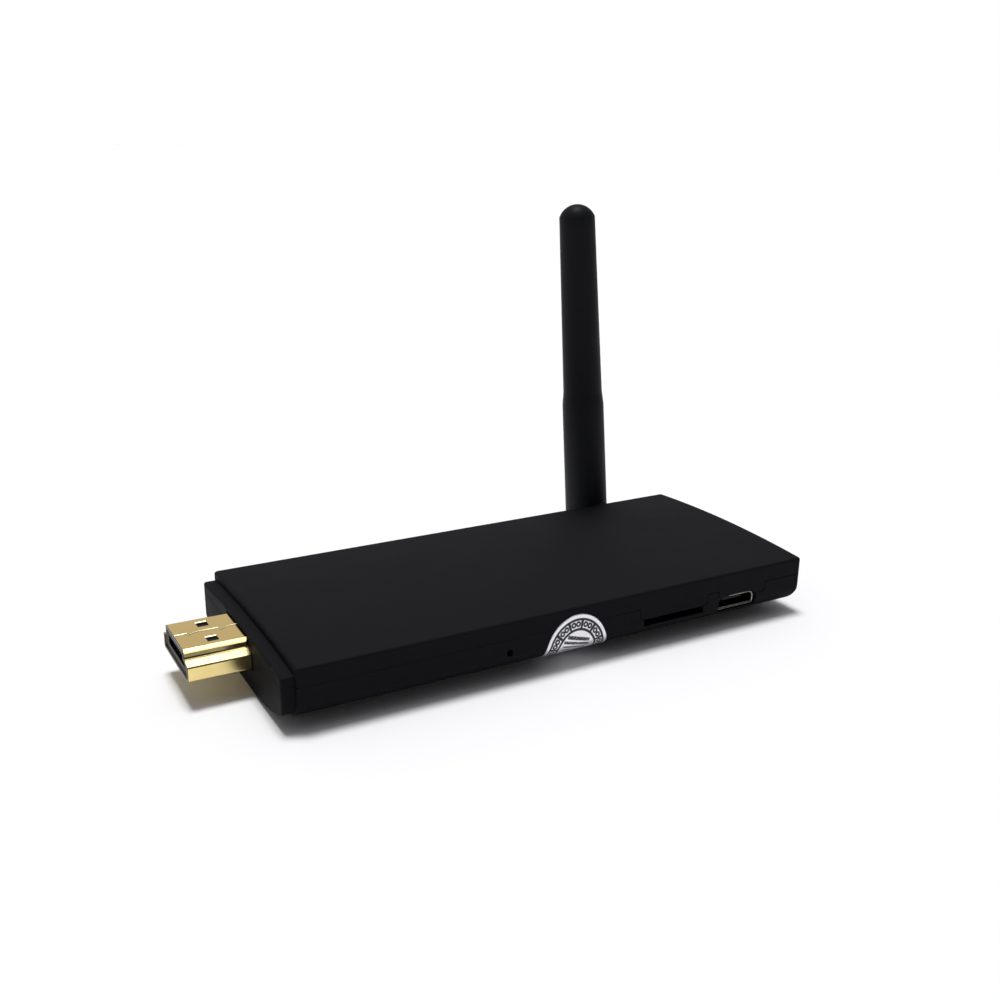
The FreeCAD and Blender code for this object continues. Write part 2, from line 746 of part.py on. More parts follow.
power_hole = power_prism("power_hole", "-case_width/2 - 1", "1 + power_setback + power_depth + relief",
                         "port_clearance", "power_corner_round")
card_hole = box("card_hole", "card_x - card_width/2", "-case_width/2 - 1", "card_level",
                "card_width", "1 + card_setback", "card_height")
card_relief = box("card_relief", "card_x - card_socket_width/2 - relief", "%s - relief" % CARD_FACE,
                  "card_level - relief", "card_socket_width + 2*relief", "card_depth",
                  "board_level - card_level + 2*relief")
pinhole = cylinder("pinhole", "reset_x", "-case_width/2 - 1", "reset_level", "pinhole_diameter",
                   "1 + 2*wall", ALONG_Y)
host_hole = box("host_hole", "case_length/2 - rear_round", "-host_width/2 - port_clearance",
                "host_level - host_height/2 - port_clearance", "rear_round + 1",
                "host_width + 2*port_clearance", "host_height + 2*port_clearance")
open_shell = cut_all("open_shell", shell_form,
                     [plug_hole, power_hole, card_hole, card_relief, pinhole, host_hole])


# Parting line: level all round, with tongues of the top shell that reach down over two ports

CARD_TONGUE = ("card_x - card_width/2 - card_tongue_overlap", "card_x + card_width/2 + card_tongue_overlap")
POWER_TONGUE = ("power_x - power_width/2 - port_clearance", "power_x + power_width/2 + power_tongue_reach")


def lower_space(name, gap):
    """All that lies below the parting line, cleared of the tongues by the gap."""
    form = body(name)
    plan = sketch(form, "XY_Plane", name + "_plan", "-wall")
    rectangle(plan, "-case_length", "case_length", "-case_width", "case_width")
    pad(form, plan, "parting_level + wall - (%s)" % gap)
    for number, ((left, right), level) in enumerate(((CARD_TONGUE, "card_tongue_level"),
                                                     (POWER_TONGUE, "power_notch_level"))):
        notch = sketch(form, "XZ_Plane", "%s_notch%d" % (name, number), "case_width/2 - 2*wall")
        rounded_rectangle(notch, "%s - (%s)" % (left, gap), "%s + (%s)" % (right, gap),
                          "%s - (%s)" % (level, gap), "parting_level + 2*tongue_round", "tongue_round")
        pocket(form, notch, "case_width", reverse=True)
    return form


under_parting = lower_space("under_parting", "0")
under_seam = lower_space("under_seam", "seam_gap")


# Posts that carry the board, and the inner boss of the hinge

POSTS = [("post_front_x", "post_side_y"), ("post_front_x", "-post_side_y"),
         ("post_rear_x", "post_side_y"), ("post_corner_x", "-post_side_y")]


def board_posts():
    """Four hollow posts from inside the underside up to the board, trimmed to the housing."""
    posts = []
    for number, (x, y) in enumerate(POSTS):
        post = cylinder("post%d" % number, x, y, "wall/2", "post_diameter", "board_level - wall/2")
        bore = cylinder("post_bore%d" % number, x, y, "%s - screw_length" % BOARD_TOP,
                        "screw_diameter + 2*screw_fit", "screw_length")
        bored = cut("bored_post%d" % number, post, bore)
        posts.append(common("trimmed_post%d" % number, bored, case_core))
    return posts


def hinge_inner_boss():
    """The boss inside the far wall, cut level at the parting line."""
    full = cylinder("inner_boss_full", "hinge_x", INNER_BOSS_FACE, "hinge_level", "hinge_inner_boss_diameter",
                    "wall/2 + hinge_inner_boss_length", ALONG_Y)
    return common("inner_boss", full, under_seam)


case_core = housing_form("case_core", "-case_length/2 + wall/2", "case_length/2 - wall/2", "wall/2", "wall/2",
                         "wall/2", "plan_round", "rear_round - wall/2")
pin_hole = cylinder("pin_hole", "hinge_x", INNER_BOSS_FACE + " - 1", "hinge_level",
                    "pin_diameter + 2*pin_fit",
                    "wall + hinge_inner_boss_length + hinge_boss_proud + 2", ALONG_Y)
washer_room = cylinder("washer_room", "hinge_x", INNER_BOSS_FACE + " - 2*wall", "hinge_level",
                       "washer_diameter + 2*hinge_relief", "2*wall", ALONG_Y)
tray = common("tray", open_shell, under_seam)
tray_with_bosses = fuse("tray_with_bosses", [tray, hinge_inner_boss()] + board_posts())
bottom_shell = cut_all("bottom_shell", tray_with_bosses, [pin_hole, washer_room])
top_shell = cut("top_shell", open_shell, under_parting)


# Round seal: a thin skin over the near wall and its lower corner

def seal():
    """The skin of the housing's section within an oval that faces its lower corner."""
    skin = body("seal_skin")
    ring = sketch(skin, "YZ_Plane", "seal_ring", "seal_x - seal_width")
    outside = "-(seal_bond + seal_thickness)"
    section_outline(ring, outside, outside, outside)
    section_outline(ring, "-seal_bond", "-seal_bond", "-seal_bond")
    pad(skin, ring, "2*seal_width")
    oval = doc.addObject("Part::Ellipse", "seal_oval")
    oval.setExpression("MajorRadius", linked("seal_width/2"))
    oval.setExpression("MinorRadius", linked("seal_drop/2"))
    oval.Placement = Placement(Vector(), Rotation(Vector(1, 0, 0), 90))
    oval.setExpression("Placement.Rotation.Angle", linked("90 + seal_tilt"))
    prism = doc.addObject("Part::Extrusion", "seal_prism")
    prism.Base = oval
    prism.DirMode = "Normal"
    prism.Solid = True
    prism.Symmetric = True
    prism.setExpression("LengthFwd", linked("seal_width/2"))
    for axis, text in zip("xyz", ("seal_x", "seal_y", "seal_level")):
        oval.setExpression("Placement.Base." + axis, linked(text))
    return common("seal_label", skin, prism, "seal_label")


seal_label = seal()


# Circuit board and its screws

def main_board():
    """The board's outline, with the socket bay, the plug's ear slots, the hinge notch and screw holes."""
    board = body("main_board")
    sk = sketch(board, "XY_Plane", "board_outline", "board_level")
    edge = "case_width/2 - wall - board_side_gap"
    bay = "host_width/2 + host_cutout_gap"
    bay_start = "%s - host_depth - host_cutout_gap" % HOST_FACE
    notch_left = "hinge_x - washer_diameter/2 - 2*hinge_relief"
    notch_right = "hinge_x + washer_diameter/2 + 2*hinge_relief"
    notch_floor = "%s - relief - hinge_relief" % PIN_END
    slot_end = "%s + plug_ear_length + relief" % PLUG_END
    near_out = "plug_offset - plug_width/2 - relief"
    near_in = "plug_offset - plug_width/2 + plug_sheet + relief"
    far_in = "plug_offset + plug_width/2 - plug_sheet - relief"
    far_out = "plug_offset + plug_width/2 + relief"
    polygon(sk, [
        (BOARD_FRONT, "-(%s)" % edge), (BOARD_REAR, "-(%s)" % edge), (BOARD_REAR, "-(%s)" % bay),
        (bay_start, "-(%s)" % bay), (bay_start, bay), (BOARD_REAR, bay), (BOARD_REAR, edge),
        (notch_right, edge), (notch_right, notch_floor), (notch_left, notch_floor), (notch_left, edge),
        (BOARD_FRONT, edge), (BOARD_FRONT, far_out), (slot_end, far_out), (slot_end, far_in),
        (BOARD_FRONT, far_in), (BOARD_FRONT, near_in), (slot_end, near_in), (slot_end, near_out),
        (BOARD_FRONT, near_out)])
    for x, y in POSTS:
        circle(sk, x, y, "screw_diameter + 2*board_hole_clearance")
    pad(board, sk, "board_thickness")
    return board


def board_screws():
    """Four pan-head screws through the board into the posts."""
    screws = []
    for number, (x, y) in enumerate(POSTS):
        shank = cylinder("shank%d" % number, x, y, "%s - screw_length + screw_end_gap" % BOARD_TOP,
                         "screw_diameter", "screw_length - screw_end_gap + screw_head_height/2")
        head = cylinder("head%d" % number, x, y, BOARD_TOP, "screw_head_diameter", "screw_head_height")
        screws.append(fuse("screw%d" % number, [shank, head]))
    return group("board_screws", screws)


# Video plug: a folded shell, a moulded core with the slot, and the contacts

def plug_shell():
    """The folded metal shell with its latch windows and the two ears that slot into the board."""
    length = "plug_reach + plug_tail"
    outer = plug_prism("plug_shell_outer", PLUG_TIP, length, "0", "plug_corner_round")
    inner = plug_prism("plug_shell_inner", PLUG_TIP + " - 1", length + " + 2", "-plug_sheet",
                       "plug_corner_round - plug_sheet/2")
    ears = [box("plug_ear%d" % number, "%s - plug_ear_root" % PLUG_END, y,
                "board_level + board_thickness/2 - plug_ear_drop",
                "plug_ear_length + plug_ear_root", "plug_sheet", "plug_ear_drop")
            for number, y in enumerate(("plug_offset - plug_width/2",
                                        "plug_offset + plug_width/2 - plug_sheet"))]
    windows = [box("latch%d%d" % (row, side), "%s + plug_latch_setback" % PLUG_TIP,
                   "plug_offset %s plug_latch_spacing/2 - plug_latch_width/2" % sign, level,
                   "plug_latch_length", "plug_latch_width", "3*plug_sheet")
               for row, level in enumerate(("%s - plug_sheet" % PLUG_LEVEL,
                                            "%s + plug_height - 2*plug_sheet" % PLUG_LEVEL))
               for side, sign in enumerate("+-")]
    tube = cut("plug_tube", outer, inner)
    return cut_all("plug_shell", fuse("plug_tube_ears", [tube] + ears), windows, "plug_shell")


def plug_contacts():
    """Two rows of straight contacts from the slot to both faces of the board, ten above and nine below."""
    start = "%s + plug_core_setback + plug_contact_setback" % PLUG_TIP
    length = "-case_length/2 + board_front_gap + plug_tail_on_board - (%s)" % start
    strips = []
    for row, (count, level) in enumerate(((10, BOARD_TOP), (9, "board_level - plug_contact_thickness"))):
        for number, step in enumerate(centred_row(count)):
            y = "plug_offset + (%s)*plug_contact_spacing - plug_contact_width/2" % step
            strips.append(box("contact%d_%d" % (row, number), start, y, level, length,
                              "plug_contact_width", "plug_contact_thickness"))
    return group("plug_contacts", strips, "plug_contacts")


def plug_core(contacts):
    """The moulded core: the slot is open at the tip and the contacts run on through it."""
    block = plug_prism("plug_core_block", "%s + plug_core_setback" % PLUG_TIP,
                       "plug_reach + plug_tail - plug_core_setback", "-(plug_sheet + plug_core_gap)",
                       "plug_corner_round - plug_sheet/2")
    slot = box("plug_slot", PLUG_TIP, "plug_offset - plug_slot_width/2",
               "board_level - plug_contact_thickness",
               "plug_core_setback + plug_slot_depth", "plug_slot_width",
               "board_thickness + 2*plug_contact_thickness")
    return cut_all("plug_core", block, [slot, contacts], "plug_core")


# Power socket

def power_shell():
    """A folded tube with a slightly flared mouth."""
    tube = power_prism("power_tube", POWER_FACE, "power_depth", "0", "power_corner_round")
    lip = power_prism("power_lip_form", POWER_FACE, "power_lip_length", "power_lip", "power_corner_round")
    hollow = power_prism("power_hollow", POWER_FACE + " - 1", "power_depth + 2", "-power_sheet",
                         "power_inner_round")
    return cut("power_shell", fuse("power_tube_lip", [tube, lip]), hollow, "power_shell")


def power_core():
    """The rear block and the tongue that carries five contacts."""
    block = power_prism("power_block", "%s + power_depth - power_core_length" % POWER_FACE,
                        "power_core_length", "-(power_sheet + fit_gap)", "power_inner_round")
    tongue = box("power_tongue", "power_x - power_tongue_width/2", "%s + power_tongue_setback" % POWER_FACE,
                 "board_level - power_tongue_drop - power_tongue_height", "power_tongue_width",
                 "power_depth - power_tongue_setback - power_core_length/2", "power_tongue_height")
    return fuse("power_core", [block, tongue], "power_core")


def power_contacts():
    """Five strips under the tongue."""
    strips = [box("power_strip%d" % number,
                  "power_x + (%s)*power_contact_spacing - power_contact_width/2" % step,
                  "%s + power_tongue_setback + power_contact_setback" % POWER_FACE,
                  "board_level - power_tongue_drop - power_tongue_height - power_contact_thickness",
                  "power_contact_width",
                  "power_depth - power_core_length - power_tongue_setback - power_contact_setback",
                  "power_contact_thickness")
              for number, step in enumerate(centred_row(5))]
    return group("power_contacts", strips, "power_contacts")


# Card socket

def card_cover():
    """The stamped cover: a floor below the card, two side walls, and a back stop."""
    low = "card_level"
    outer = box("card_cover_outer", CARD_LEFT, CARD_FACE, low, "card_socket_width", "card_depth",
                "board_level - card_level")
    hollow = box("card_cover_hollow", "%s + card_sheet" % CARD_LEFT, CARD_FACE + " - 1",
                 low + " + card_sheet", "card_socket_width - 2*card_sheet", "card_depth + 2",
                 "board_level - card_level")
    window = box("card_cover_window", "card_x - card_width/4", "%s + card_depth/3" % CARD_FACE, low + " - 1",
                 "card_width/2", "card_depth/3", "2")
    return cut_all("card_cover", outer, [hollow, window], "card_cover")


def card_base():
    """The moulded base against the board, with the block that stops the card."""
    plate = box("card_plate", "%s + card_sheet + fit_gap" % CARD_LEFT, CARD_FACE,
                "board_level - card_base_height", "card_socket_width - 2*card_sheet - 2*fit_gap",
                "card_depth", "card_base_height")
    stop = box("card_stop_block", "%s + card_sheet + fit_gap" % CARD_LEFT,
               "%s + card_depth - card_stop" % CARD_FACE, "card_level + card_sheet + fit_gap",
               "card_socket_width - 2*card_sheet - 2*fit_gap", "card_stop",
               "board_level - card_level - card_sheet - fit_gap")
    return fuse("card_base", [plate, stop], "card_base")


def card_contacts():
    """Eight leaf contacts below the base."""
    strips = [box("card_leaf%d" % number, "card_x + (%s)*card_contact_spacing - card_contact_width/2" % step,
                  "%s + card_depth - card_stop - card_contact_length" % CARD_FACE,
                  "board_level - card_base_height - card_contact_thickness",
                  "card_contact_width", "card_contact_length", "card_contact_thickness")
              for number, step in enumerate(centred_row(8))]
    return group("card_contacts", strips, "card_contacts")


# Full-size socket in the rear end

def host_shell():
    """A folded rectangular tube."""
    form = body("host_shell", "host_shell")
    sk = sketch(form, "YZ_Plane", "host_section", "%s - host_depth" % HOST_FACE)
    low, high = "host_level - host_height/2", "host_level + host_height/2"
    rounded_rectangle(sk, "-host_width/2", "host_width/2", low, high, "2*host_sheet")
    rounded_rectangle(sk, "-host_width/2 + host_sheet", "host_width/2 - host_sheet", low + " + host_sheet",
                      high + " - host_sheet", "host_sheet")
    pad(form, sk, "host_depth")
    return form


def host_core():
    """The rear block and the tongue."""
    block = box("host_block", "%s - host_depth" % HOST_FACE, "-host_width/2 + 2*host_sheet",
                "host_level - host_height/2 + host_sheet + fit_gap", "host_core_length",
                "host_width - 4*host_sheet", "host_height - 2*host_sheet - 2*fit_gap")
    tongue = box("host_tongue", "%s - host_depth" % HOST_FACE, "-host_tongue_width/2", HOST_TONGUE_LOW,
                 "host_depth - host_tongue_setback", "host_tongue_width", "host_tongue_height")
    return fuse("host_core", [block, tongue], "host_core")


def host_contacts():
    """Four strips under the tongue."""
    front = "%s - host_tongue_setback - host_contact_setback - host_contact_length" % HOST_FACE
    strips = [box("host_strip%d" % number, front,
                  "(%s)*host_contact_spacing - host_contact_width/2" % step,
                  "%s - host_contact_thickness" % HOST_TONGUE_LOW,
                  "host_contact_length", "host_contact_width", "host_contact_thickness")
              for number, step in enumerate(centred_row(4))]
    return group("host_contacts", strips, "host_contacts")


# Reset switch

def reset_body():
    """The switch's block under the board, bored for its plunger."""
    block = box("switch_block", "reset_x - switch_width/2", "switch_y", "board_level - switch_height",
                "switch_width", "switch_depth", "switch_height")
    bore = box("switch_bore", "reset_x - plunger_width/2 - plunger_fit", "switch_y - 1",
               "reset_level - plunger_height/2 - plunger_fit", "plunger_width + 2*plunger_fit",
               "1 + plunger_stem + plunger_travel + plunger_fit", "plunger_height + 2*plunger_fit")
    return cut("reset_switch", block, bore, "reset_switch")


def reset_plunger():
    """The plunger that a wire through the pinhole presses."""
    return box("reset_plunger", "reset_x - plunger_width/2", "switch_y - plunger_reach",
               "reset_level - plunger_height/2", "plunger_width", "plunger_reach + plunger_stem",
               "plunger_height")


# Chips, cooling and small parts

def heat_sink():
    """A plate under the processor with grooves along the stick."""
    form = body("heat_sink")
    top = "board_level - processor_height - pad_thickness"
    plan = sketch(form, "XY_Plane", "sink_plan", "%s - heat_sink_height" % top)
    rectangle(plan, "processor_x - heat_sink_length/2", "processor_x + heat_sink_length/2",
              "-heat_sink_width/2", "heat_sink_width/2")
    pad(form, plan, "heat_sink_height")
    groove = sketch(form, "YZ_Plane", "sink_groove", "processor_x")
    start = "-heat_sink_width/2 + heat_sink_web"
    rectangle(groove, start, "%s + heat_sink_groove" % start, "%s - 2*heat_sink_height" % top,
              "%s - heat_sink_height/2" % top)
    first = pocket(form, groove, "2*heat_sink_length", symmetric=True)
    step = value("heat_sink_groove + heat_sink_web")
    count = int(value("heat_sink_width - heat_sink_web") / step)
    row = form.newObject("PartDesign::LinearPattern", "sink_grooves")
    row.Originals = [first]
    row.Direction = (groove, ["H_Axis"])
    row.setExpression("Length", linked("%d*(heat_sink_groove + heat_sink_web)" % (count - 1)))
    row.Occurrences = count
    form.Tip = row
    doc.recompute()
    return form


def wireless_module():
    """A small board under a drawn metal can."""
    base = centred_box("wireless_base", "wireless_x", "wireless_side", BOARD_TOP,
                       "wireless_size", "wireless_size", "wireless_height/3")
    can = centred_box("wireless_can", "wireless_x", "wireless_side", BOARD_TOP,
                      "wireless_size - 2*wireless_sheet", "wireless_size - 2*wireless_sheet",
                      "wireless_height")
    return fuse("wireless_module", [base, can], "wireless_module")


def chips():
    """Blocks on and under the board, by node name."""
    under = "board_level - processor_height"
    memory = [centred_box("memory%d%d" % (i, j), "memory_x + (%d)*memory_spacing" % i, "(%d)*memory_side" % j,
                          BOARD_TOP, "memory_length", "memory_width", "memory_height")
              for i in (0, 1) for j in (-1, 1)]
    inductors = [centred_box("coil%d" % i, "inductor_x + (%d)*inductor_spacing" % i, "inductor_y", BOARD_TOP,
                             "inductor_size", "inductor_size", "inductor_height") for i in range(3)]
    capacitors = [centred_box("capacitor%d%d" % (i, j), "capacitor_x + (%d)*capacitor_spacing" % i,
                              "(%d)*capacitor_y" % j, BOARD_TOP, "capacitor_length", "capacitor_width",
                              "capacitor_width") for i in range(1, 7) for j in (-1, 1)]
    return [
        centred_box("processor", "processor_x", "0", under, "processor_size", "processor_size",
                    "processor_height"),
        centred_box("thermal_pad", "processor_x", "0", under + " - pad_thickness", "pad_size", "pad_size",
                    "pad_thickness"),
        heat_sink(),
        group("memory_chips", memory),
        centred_box("flash_chip", "flash_x", "flash_side", BOARD_TOP, "flash_length", "flash_width",
                    "memory_height"),
        centred_box("power_chip", "power_chip_x", "power_chip_y", BOARD_TOP,
                    "power_chip_size", "power_chip_size", "power_chip_height"),
        wireless_module(),
        centred_box("crystal", "crystal_x", "crystal_y", BOARD_TOP, "crystal_length", "crystal_width",
                    "crystal_height"),
        group("inductors", inductors),
        group("capacitors", capacitors),
    ]


# Antenna, drawn upright about its hinge axis and then leaned towards the plug

def lean(piece):
    """Set a piece drawn about the hinge at its real place and lean."""
    piece.Placement = Placement(Vector(), Rotation(AGAINST_Y, 1))
    piece.setExpression("Placement.Rotation.Angle", linked("antenna_lean"))
    for axis, text in zip("xyz", ("hinge_x", WHIP_Y, "hinge_level")):
        piece.setExpression("Placement.Base." + axis, linked(text))
    return piece


def turned(name, corners, arcs=()):
    """A body turned about the antenna's axis; arcs maps a corner's number to the radius after it."""
    form = body(name)
    sk = sketch(form, "XZ_Plane", name + "_profile")
    spots = [Vector(value(x), value(y), 0) for x, y in corners]
    arcs = dict(arcs)
    edges = []
    for number, start in enumerate(spots):
        end = spots[(number + 1) % len(spots)]
        if number in arcs:
            edges.append(sk.addGeometry(bulge(start, end, value(arcs[number])), False))
        else:
            edges.append(sk.addGeometry(Part.LineSegment(start, end), False))
    for number, edge in enumerate(edges):
        after = (number + 1) % len(edges)
        constrain(sk, "Coincident", edge, 2, edges[after], 1)
        pin_point(sk, edge, 1, *corners[number])
        if number in arcs:
            constrain(sk, "Radius", edge, size=arcs[number])
    turn = form.newObject("PartDesign::Revolution", name + "_turn")
    turn.Profile = sk
    turn.ReferenceAxis = (sk, ["V_Axis"])
    turn.Angle = 360
    form.Tip = turn
    doc.recompute()
    return form


def bulge(start, end, radius):
    """The arc from start to end, anticlockwise, that bulges away from the axis."""
    chord = end - start
    middle = (start + end) * 0.5
    inward = Vector(-chord.y, chord.x, 0).normalize()
    centre = middle + inward * math.sqrt(max(radius ** 2 - (chord.Length / 2) ** 2, 0))
    first = math.atan2(start.y - centre.y, start.x - centre.x)
    last = math.atan2(end.y - centre.y, end.x - centre.x)
    return Part.ArcOfCircle(Part.Circle(centre, Vector(0, 0, 1), radius), first, last)


def antenna_base():
    """The turned foot: a bevelled end, a hub towards the case, a long taper and a shoulder."""
    foot = turned("base_turned", [
        ("0", "-base_diameter/2"), ("base_diameter/2 - base_end_inset", "-base_diameter/2"),
        ("base_diameter/2 - base_end_inset/3", "-base_diameter/2 + base_end_rise/3"),
        ("base_diameter/2", "-base_diameter/2 + base_end_rise"),
        ("base_neck_diameter/2", "base_length - base_shoulder"), ("whip_diameter/2", "base_length"),
        ("0", "base_length")])
    hub = cylinder("base_hub", "0", "-base_diameter/2 - hub_proud", "0", "hub_diameter",
                   "base_diameter/2 + hub_proud", ALONG_Y)
    socket = cylinder("base_socket", "0", "0", "base_length - spigot_length", "spigot_diameter + 2*fit_gap",
                      "spigot_length + 1")
    core_bore = cylinder("base_core_bore", "0", "0", "-feed_chamber", "core_diameter + 2*core_fit",
                         "base_length + feed_chamber")
    pin_bore = cylinder("base_pin_bore", "0", "-base_diameter/2 - hub_proud - 1", "0", "pin_diameter",
                        "pin_seat + 1", ALONG_Y)
    solid = fuse("base_solid", [foot, hub])
    return lean(cut_all("antenna_base", solid, [socket, core_bore, pin_bore], "antenna_base"))


def antenna_cover():
    """The whip: a spigot in the foot, a long taper, a domed tip and a blind bore."""
    tip_level = "whip_length - whip_dome"
    dome_radius = "(whip_tip_diameter^2/4 + whip_dome^2)/(2*whip_dome)"
    whip = turned("cover_turned", [
        ("0", "base_length - spigot_length"), ("spigot_diameter/2", "base_length - spigot_length"),
        ("spigot_diameter/2", "base_length"), ("whip_diameter/2", "base_length"),
        ("whip_tip_diameter/2", tip_level), ("0", "whip_length")], {4: dome_radius})
    bore = cylinder("cover_bore", "0", "0", "0", "core_diameter + 2*core_fit",
                    "core_foot_gap + core_length + core_fit")
    return lean(cut("antenna_cover", whip, bore, "antenna_cover"))


def antenna_core():
    """The radiator, a rod from just above the hinge pin, with bevelled ends."""
    end = "core_foot_gap + core_length"
    return lean(turned("antenna_core", [
        ("0", "core_foot_gap"), ("core_diameter/2 - core_bevel", "core_foot_gap"),
        ("core_diameter/2", "core_foot_gap + core_bevel"), ("core_diameter/2", end + " - core_bevel"),
        ("core_diameter/2 - core_bevel", end), ("0", end)]))


def hinge_pin():
    """A hollow shaft pressed into the foot, grooved for its clip."""
    length = "%s - pin_seat" % WHIP_HUB_FACE
    start = PIN_END
    end = "%s + pin_seat" % WHIP_HUB_FACE
    rod = cylinder("pin_rod", "hinge_x", start, "hinge_level", "pin_diameter",
                   "%s - (%s)" % (end, start), ALONG_Y)
    bore = cylinder("pin_through", "hinge_x", start + " - 1", "hinge_level", "pin_bore",
                    "%s - (%s) + 2" % (end, start), ALONG_Y)
    ring = cylinder("pin_ring", "hinge_x", CLIP_START + " - fit_gap", "hinge_level", "pin_diameter + 1",
                    "clip_thickness + 2*fit_gap", ALONG_Y)
    land = cylinder("pin_land", "hinge_x", CLIP_START + " - fit_gap", "hinge_level", "pin_groove",
                    "clip_thickness + 2*fit_gap", ALONG_Y)
    return cut_all("hinge_pin", rod, [cut("pin_groove_ring", ring, land), bore], "hinge_pin")


def hinge_washer():
    """The friction washer on the inner boss."""
    disc = cylinder("washer_disc", "hinge_x", INNER_BOSS_FACE + " - washer_thickness", "hinge_level",
                    "washer_diameter", "washer_thickness", ALONG_Y)
    hole = cylinder("washer_hole", "hinge_x", INNER_BOSS_FACE + " - 1", "hinge_level",
                    "pin_diameter + 2*pin_fit", "2", ALONG_Y)
    return cut("hinge_washer", disc, hole, "hinge_washer")


def hinge_clip():
    """The open retaining clip in the pin's groove."""
    disc = cylinder("clip_disc", "hinge_x", CLIP_START, "hinge_level", "clip_diameter",
                    "clip_thickness", ALONG_Y)
    hole = cylinder("clip_hole", "hinge_x", CLIP_START + " - 1", "hinge_level", "pin_groove + 2*fit_gap", "2",
                    ALONG_Y)
    mouth = box("clip_mouth_cut", "hinge_x - clip_mouth/2", CLIP_START + " - 1", "hinge_level", "clip_mouth",
                "2", "clip_diameter")
    return cut_all("hinge_clip", disc, [hole, mouth], "hinge_clip")


def antenna_lead():
    """The thin cable: straight through the hollow pin, one bend, and along under the board to its jack."""
    form = body("antenna_lead")
    path = sketch(form, "XY_Plane", "lead_path", "hinge_level")
    bend = value("lead_bend")
    x, y = value("hinge_x"), value("lead_turn_y")
    first = path.addGeometry(Part.LineSegment(Vector(x, value(WHIP_Y), 0), Vector(x, y + bend, 0)))
    corner = Part.Circle(Vector(x - bend, y + bend, 0), Vector(0, 0, 1), bend)
    turn = path.addGeometry(Part.ArcOfCircle(corner, -math.pi / 2, 0))
    far_end = Vector(value("jack_x + jack_barrel"), y, 0)
    last = path.addGeometry(Part.LineSegment(Vector(x - bend, y, 0), far_end))
    constrain(path, "Tangent", first, 2, turn, 2)
    constrain(path, "Tangent", turn, 1, last, 1)
    pin_point(path, first, 1, "hinge_x", WHIP_Y)
    pin_point(path, last, 2, "jack_x + jack_barrel", "lead_turn_y")
    constrain(path, "Radius", turn, size="lead_bend")
    constrain(path, "Vertical", first)
    constrain(path, "Horizontal", last)
    end = sketch(form, "XZ_Plane", "lead_section", "-(%s)" % WHIP_Y)
    circle(end, "hinge_x", "hinge_level", "lead_diameter")
    pipe = form.newObject("PartDesign::AdditivePipe", "lead_pipe")
    pipe.Profile = end
    pipe.Spine = path
    form.Tip = pipe
    doc.recompute()
    length = sum(edge.Length for edge in path.Shape.Edges)
    expected = math.pi * value("lead_diameter/2") ** 2 * length
    print("lead volume", round(form.Shape.Volume, 3), "of length times section", round(expected, 3))
    print("lead radii: bend", bend, "over half the thickness", value("lead_diameter/2"))
    return form


def antenna_jack():
    """The square receptacle under the board."""
    return centred_box("antenna_jack", "jack_x", "lead_turn_y", "board_level - jack_height", "jack_size",
                       "jack_size", "jack_height")


def antenna_plug():
    """The snap-on cap with its crimp barrel."""
    low = "board_level - jack_height - jack_cap_height"
    cap = cylinder("plug_cap", "jack_x", "lead_turn_y", low, "jack_cap_diameter", "jack_cap_height")
    barrel = box("plug_barrel", "jack_x", "lead_turn_y - lead_diameter", low, "jack_barrel",
                 "2*lead_diameter", "jack_cap_height")
    return fuse("antenna_plug", [cap, barrel], "antenna_plug")


contacts = plug_contacts()
nodes = [top_shell, bottom_shell, seal_label, main_board(), board_screws(),
         plug_shell(), plug_core(contacts), contacts,
         power_shell(), power_core(), power_contacts(),
         card_cover(), card_base(), card_contacts(),
         host_shell(), host_core(), host_contacts(),
         reset_body(), reset_plunger()]
nodes += chips()
nodes += [antenna_base(), antenna_cover(), antenna_core(), hinge_pin(), hinge_washer(), hinge_clip(),
          antenna_lead(), antenna_jack(), antenna_plug()]

# Check every object and write each piece

doc.recompute()
failed = [item.Name for item in doc.Objects if "Invalid" in item.State or "Error" in item.State]
if failed:
    raise RuntimeError("failed objects: " + ", ".join(failed))
for item in doc.Objects:
    if item.TypeId == "Part::Cut" and item.Base.Shape.Volume - item.Shape.Volume < SMALLEST_CUT:
        raise RuntimeError("nothing cut by: " + item.Name)
for item in nodes:
    if item.Shape.isNull() or not item.Shape.isValid() or not item.Shape.Solids:
        raise RuntimeError("bad shape: " + item.Label)

os.makedirs("parts", exist_ok=True)
for item in nodes:
    item.Shape.exportStep("parts/%s.step" % item.Label)
    print(item.Label, len(item.Shape.Solids), round(item.Shape.Volume, 2))
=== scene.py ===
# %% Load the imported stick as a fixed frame
import json
import math

import bpy
from mathutils import Matrix, Vector


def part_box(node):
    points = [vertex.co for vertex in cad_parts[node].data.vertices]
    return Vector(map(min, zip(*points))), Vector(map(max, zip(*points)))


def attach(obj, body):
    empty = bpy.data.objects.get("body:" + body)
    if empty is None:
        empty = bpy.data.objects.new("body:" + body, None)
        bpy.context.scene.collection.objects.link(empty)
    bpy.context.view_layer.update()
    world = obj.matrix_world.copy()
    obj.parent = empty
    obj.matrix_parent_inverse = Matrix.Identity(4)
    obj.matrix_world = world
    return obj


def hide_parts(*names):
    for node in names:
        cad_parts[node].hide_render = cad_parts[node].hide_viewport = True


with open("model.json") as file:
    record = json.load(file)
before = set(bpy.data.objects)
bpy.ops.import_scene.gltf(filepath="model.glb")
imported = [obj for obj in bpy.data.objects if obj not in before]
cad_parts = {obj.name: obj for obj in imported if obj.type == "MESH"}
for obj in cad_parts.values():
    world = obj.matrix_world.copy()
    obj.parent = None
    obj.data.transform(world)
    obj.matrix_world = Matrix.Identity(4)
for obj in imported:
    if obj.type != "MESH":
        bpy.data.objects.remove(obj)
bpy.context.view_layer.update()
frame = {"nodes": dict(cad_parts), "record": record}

MM = 0.001
nodes = frame["nodes"]
print("pieces in the frame:", len(nodes))


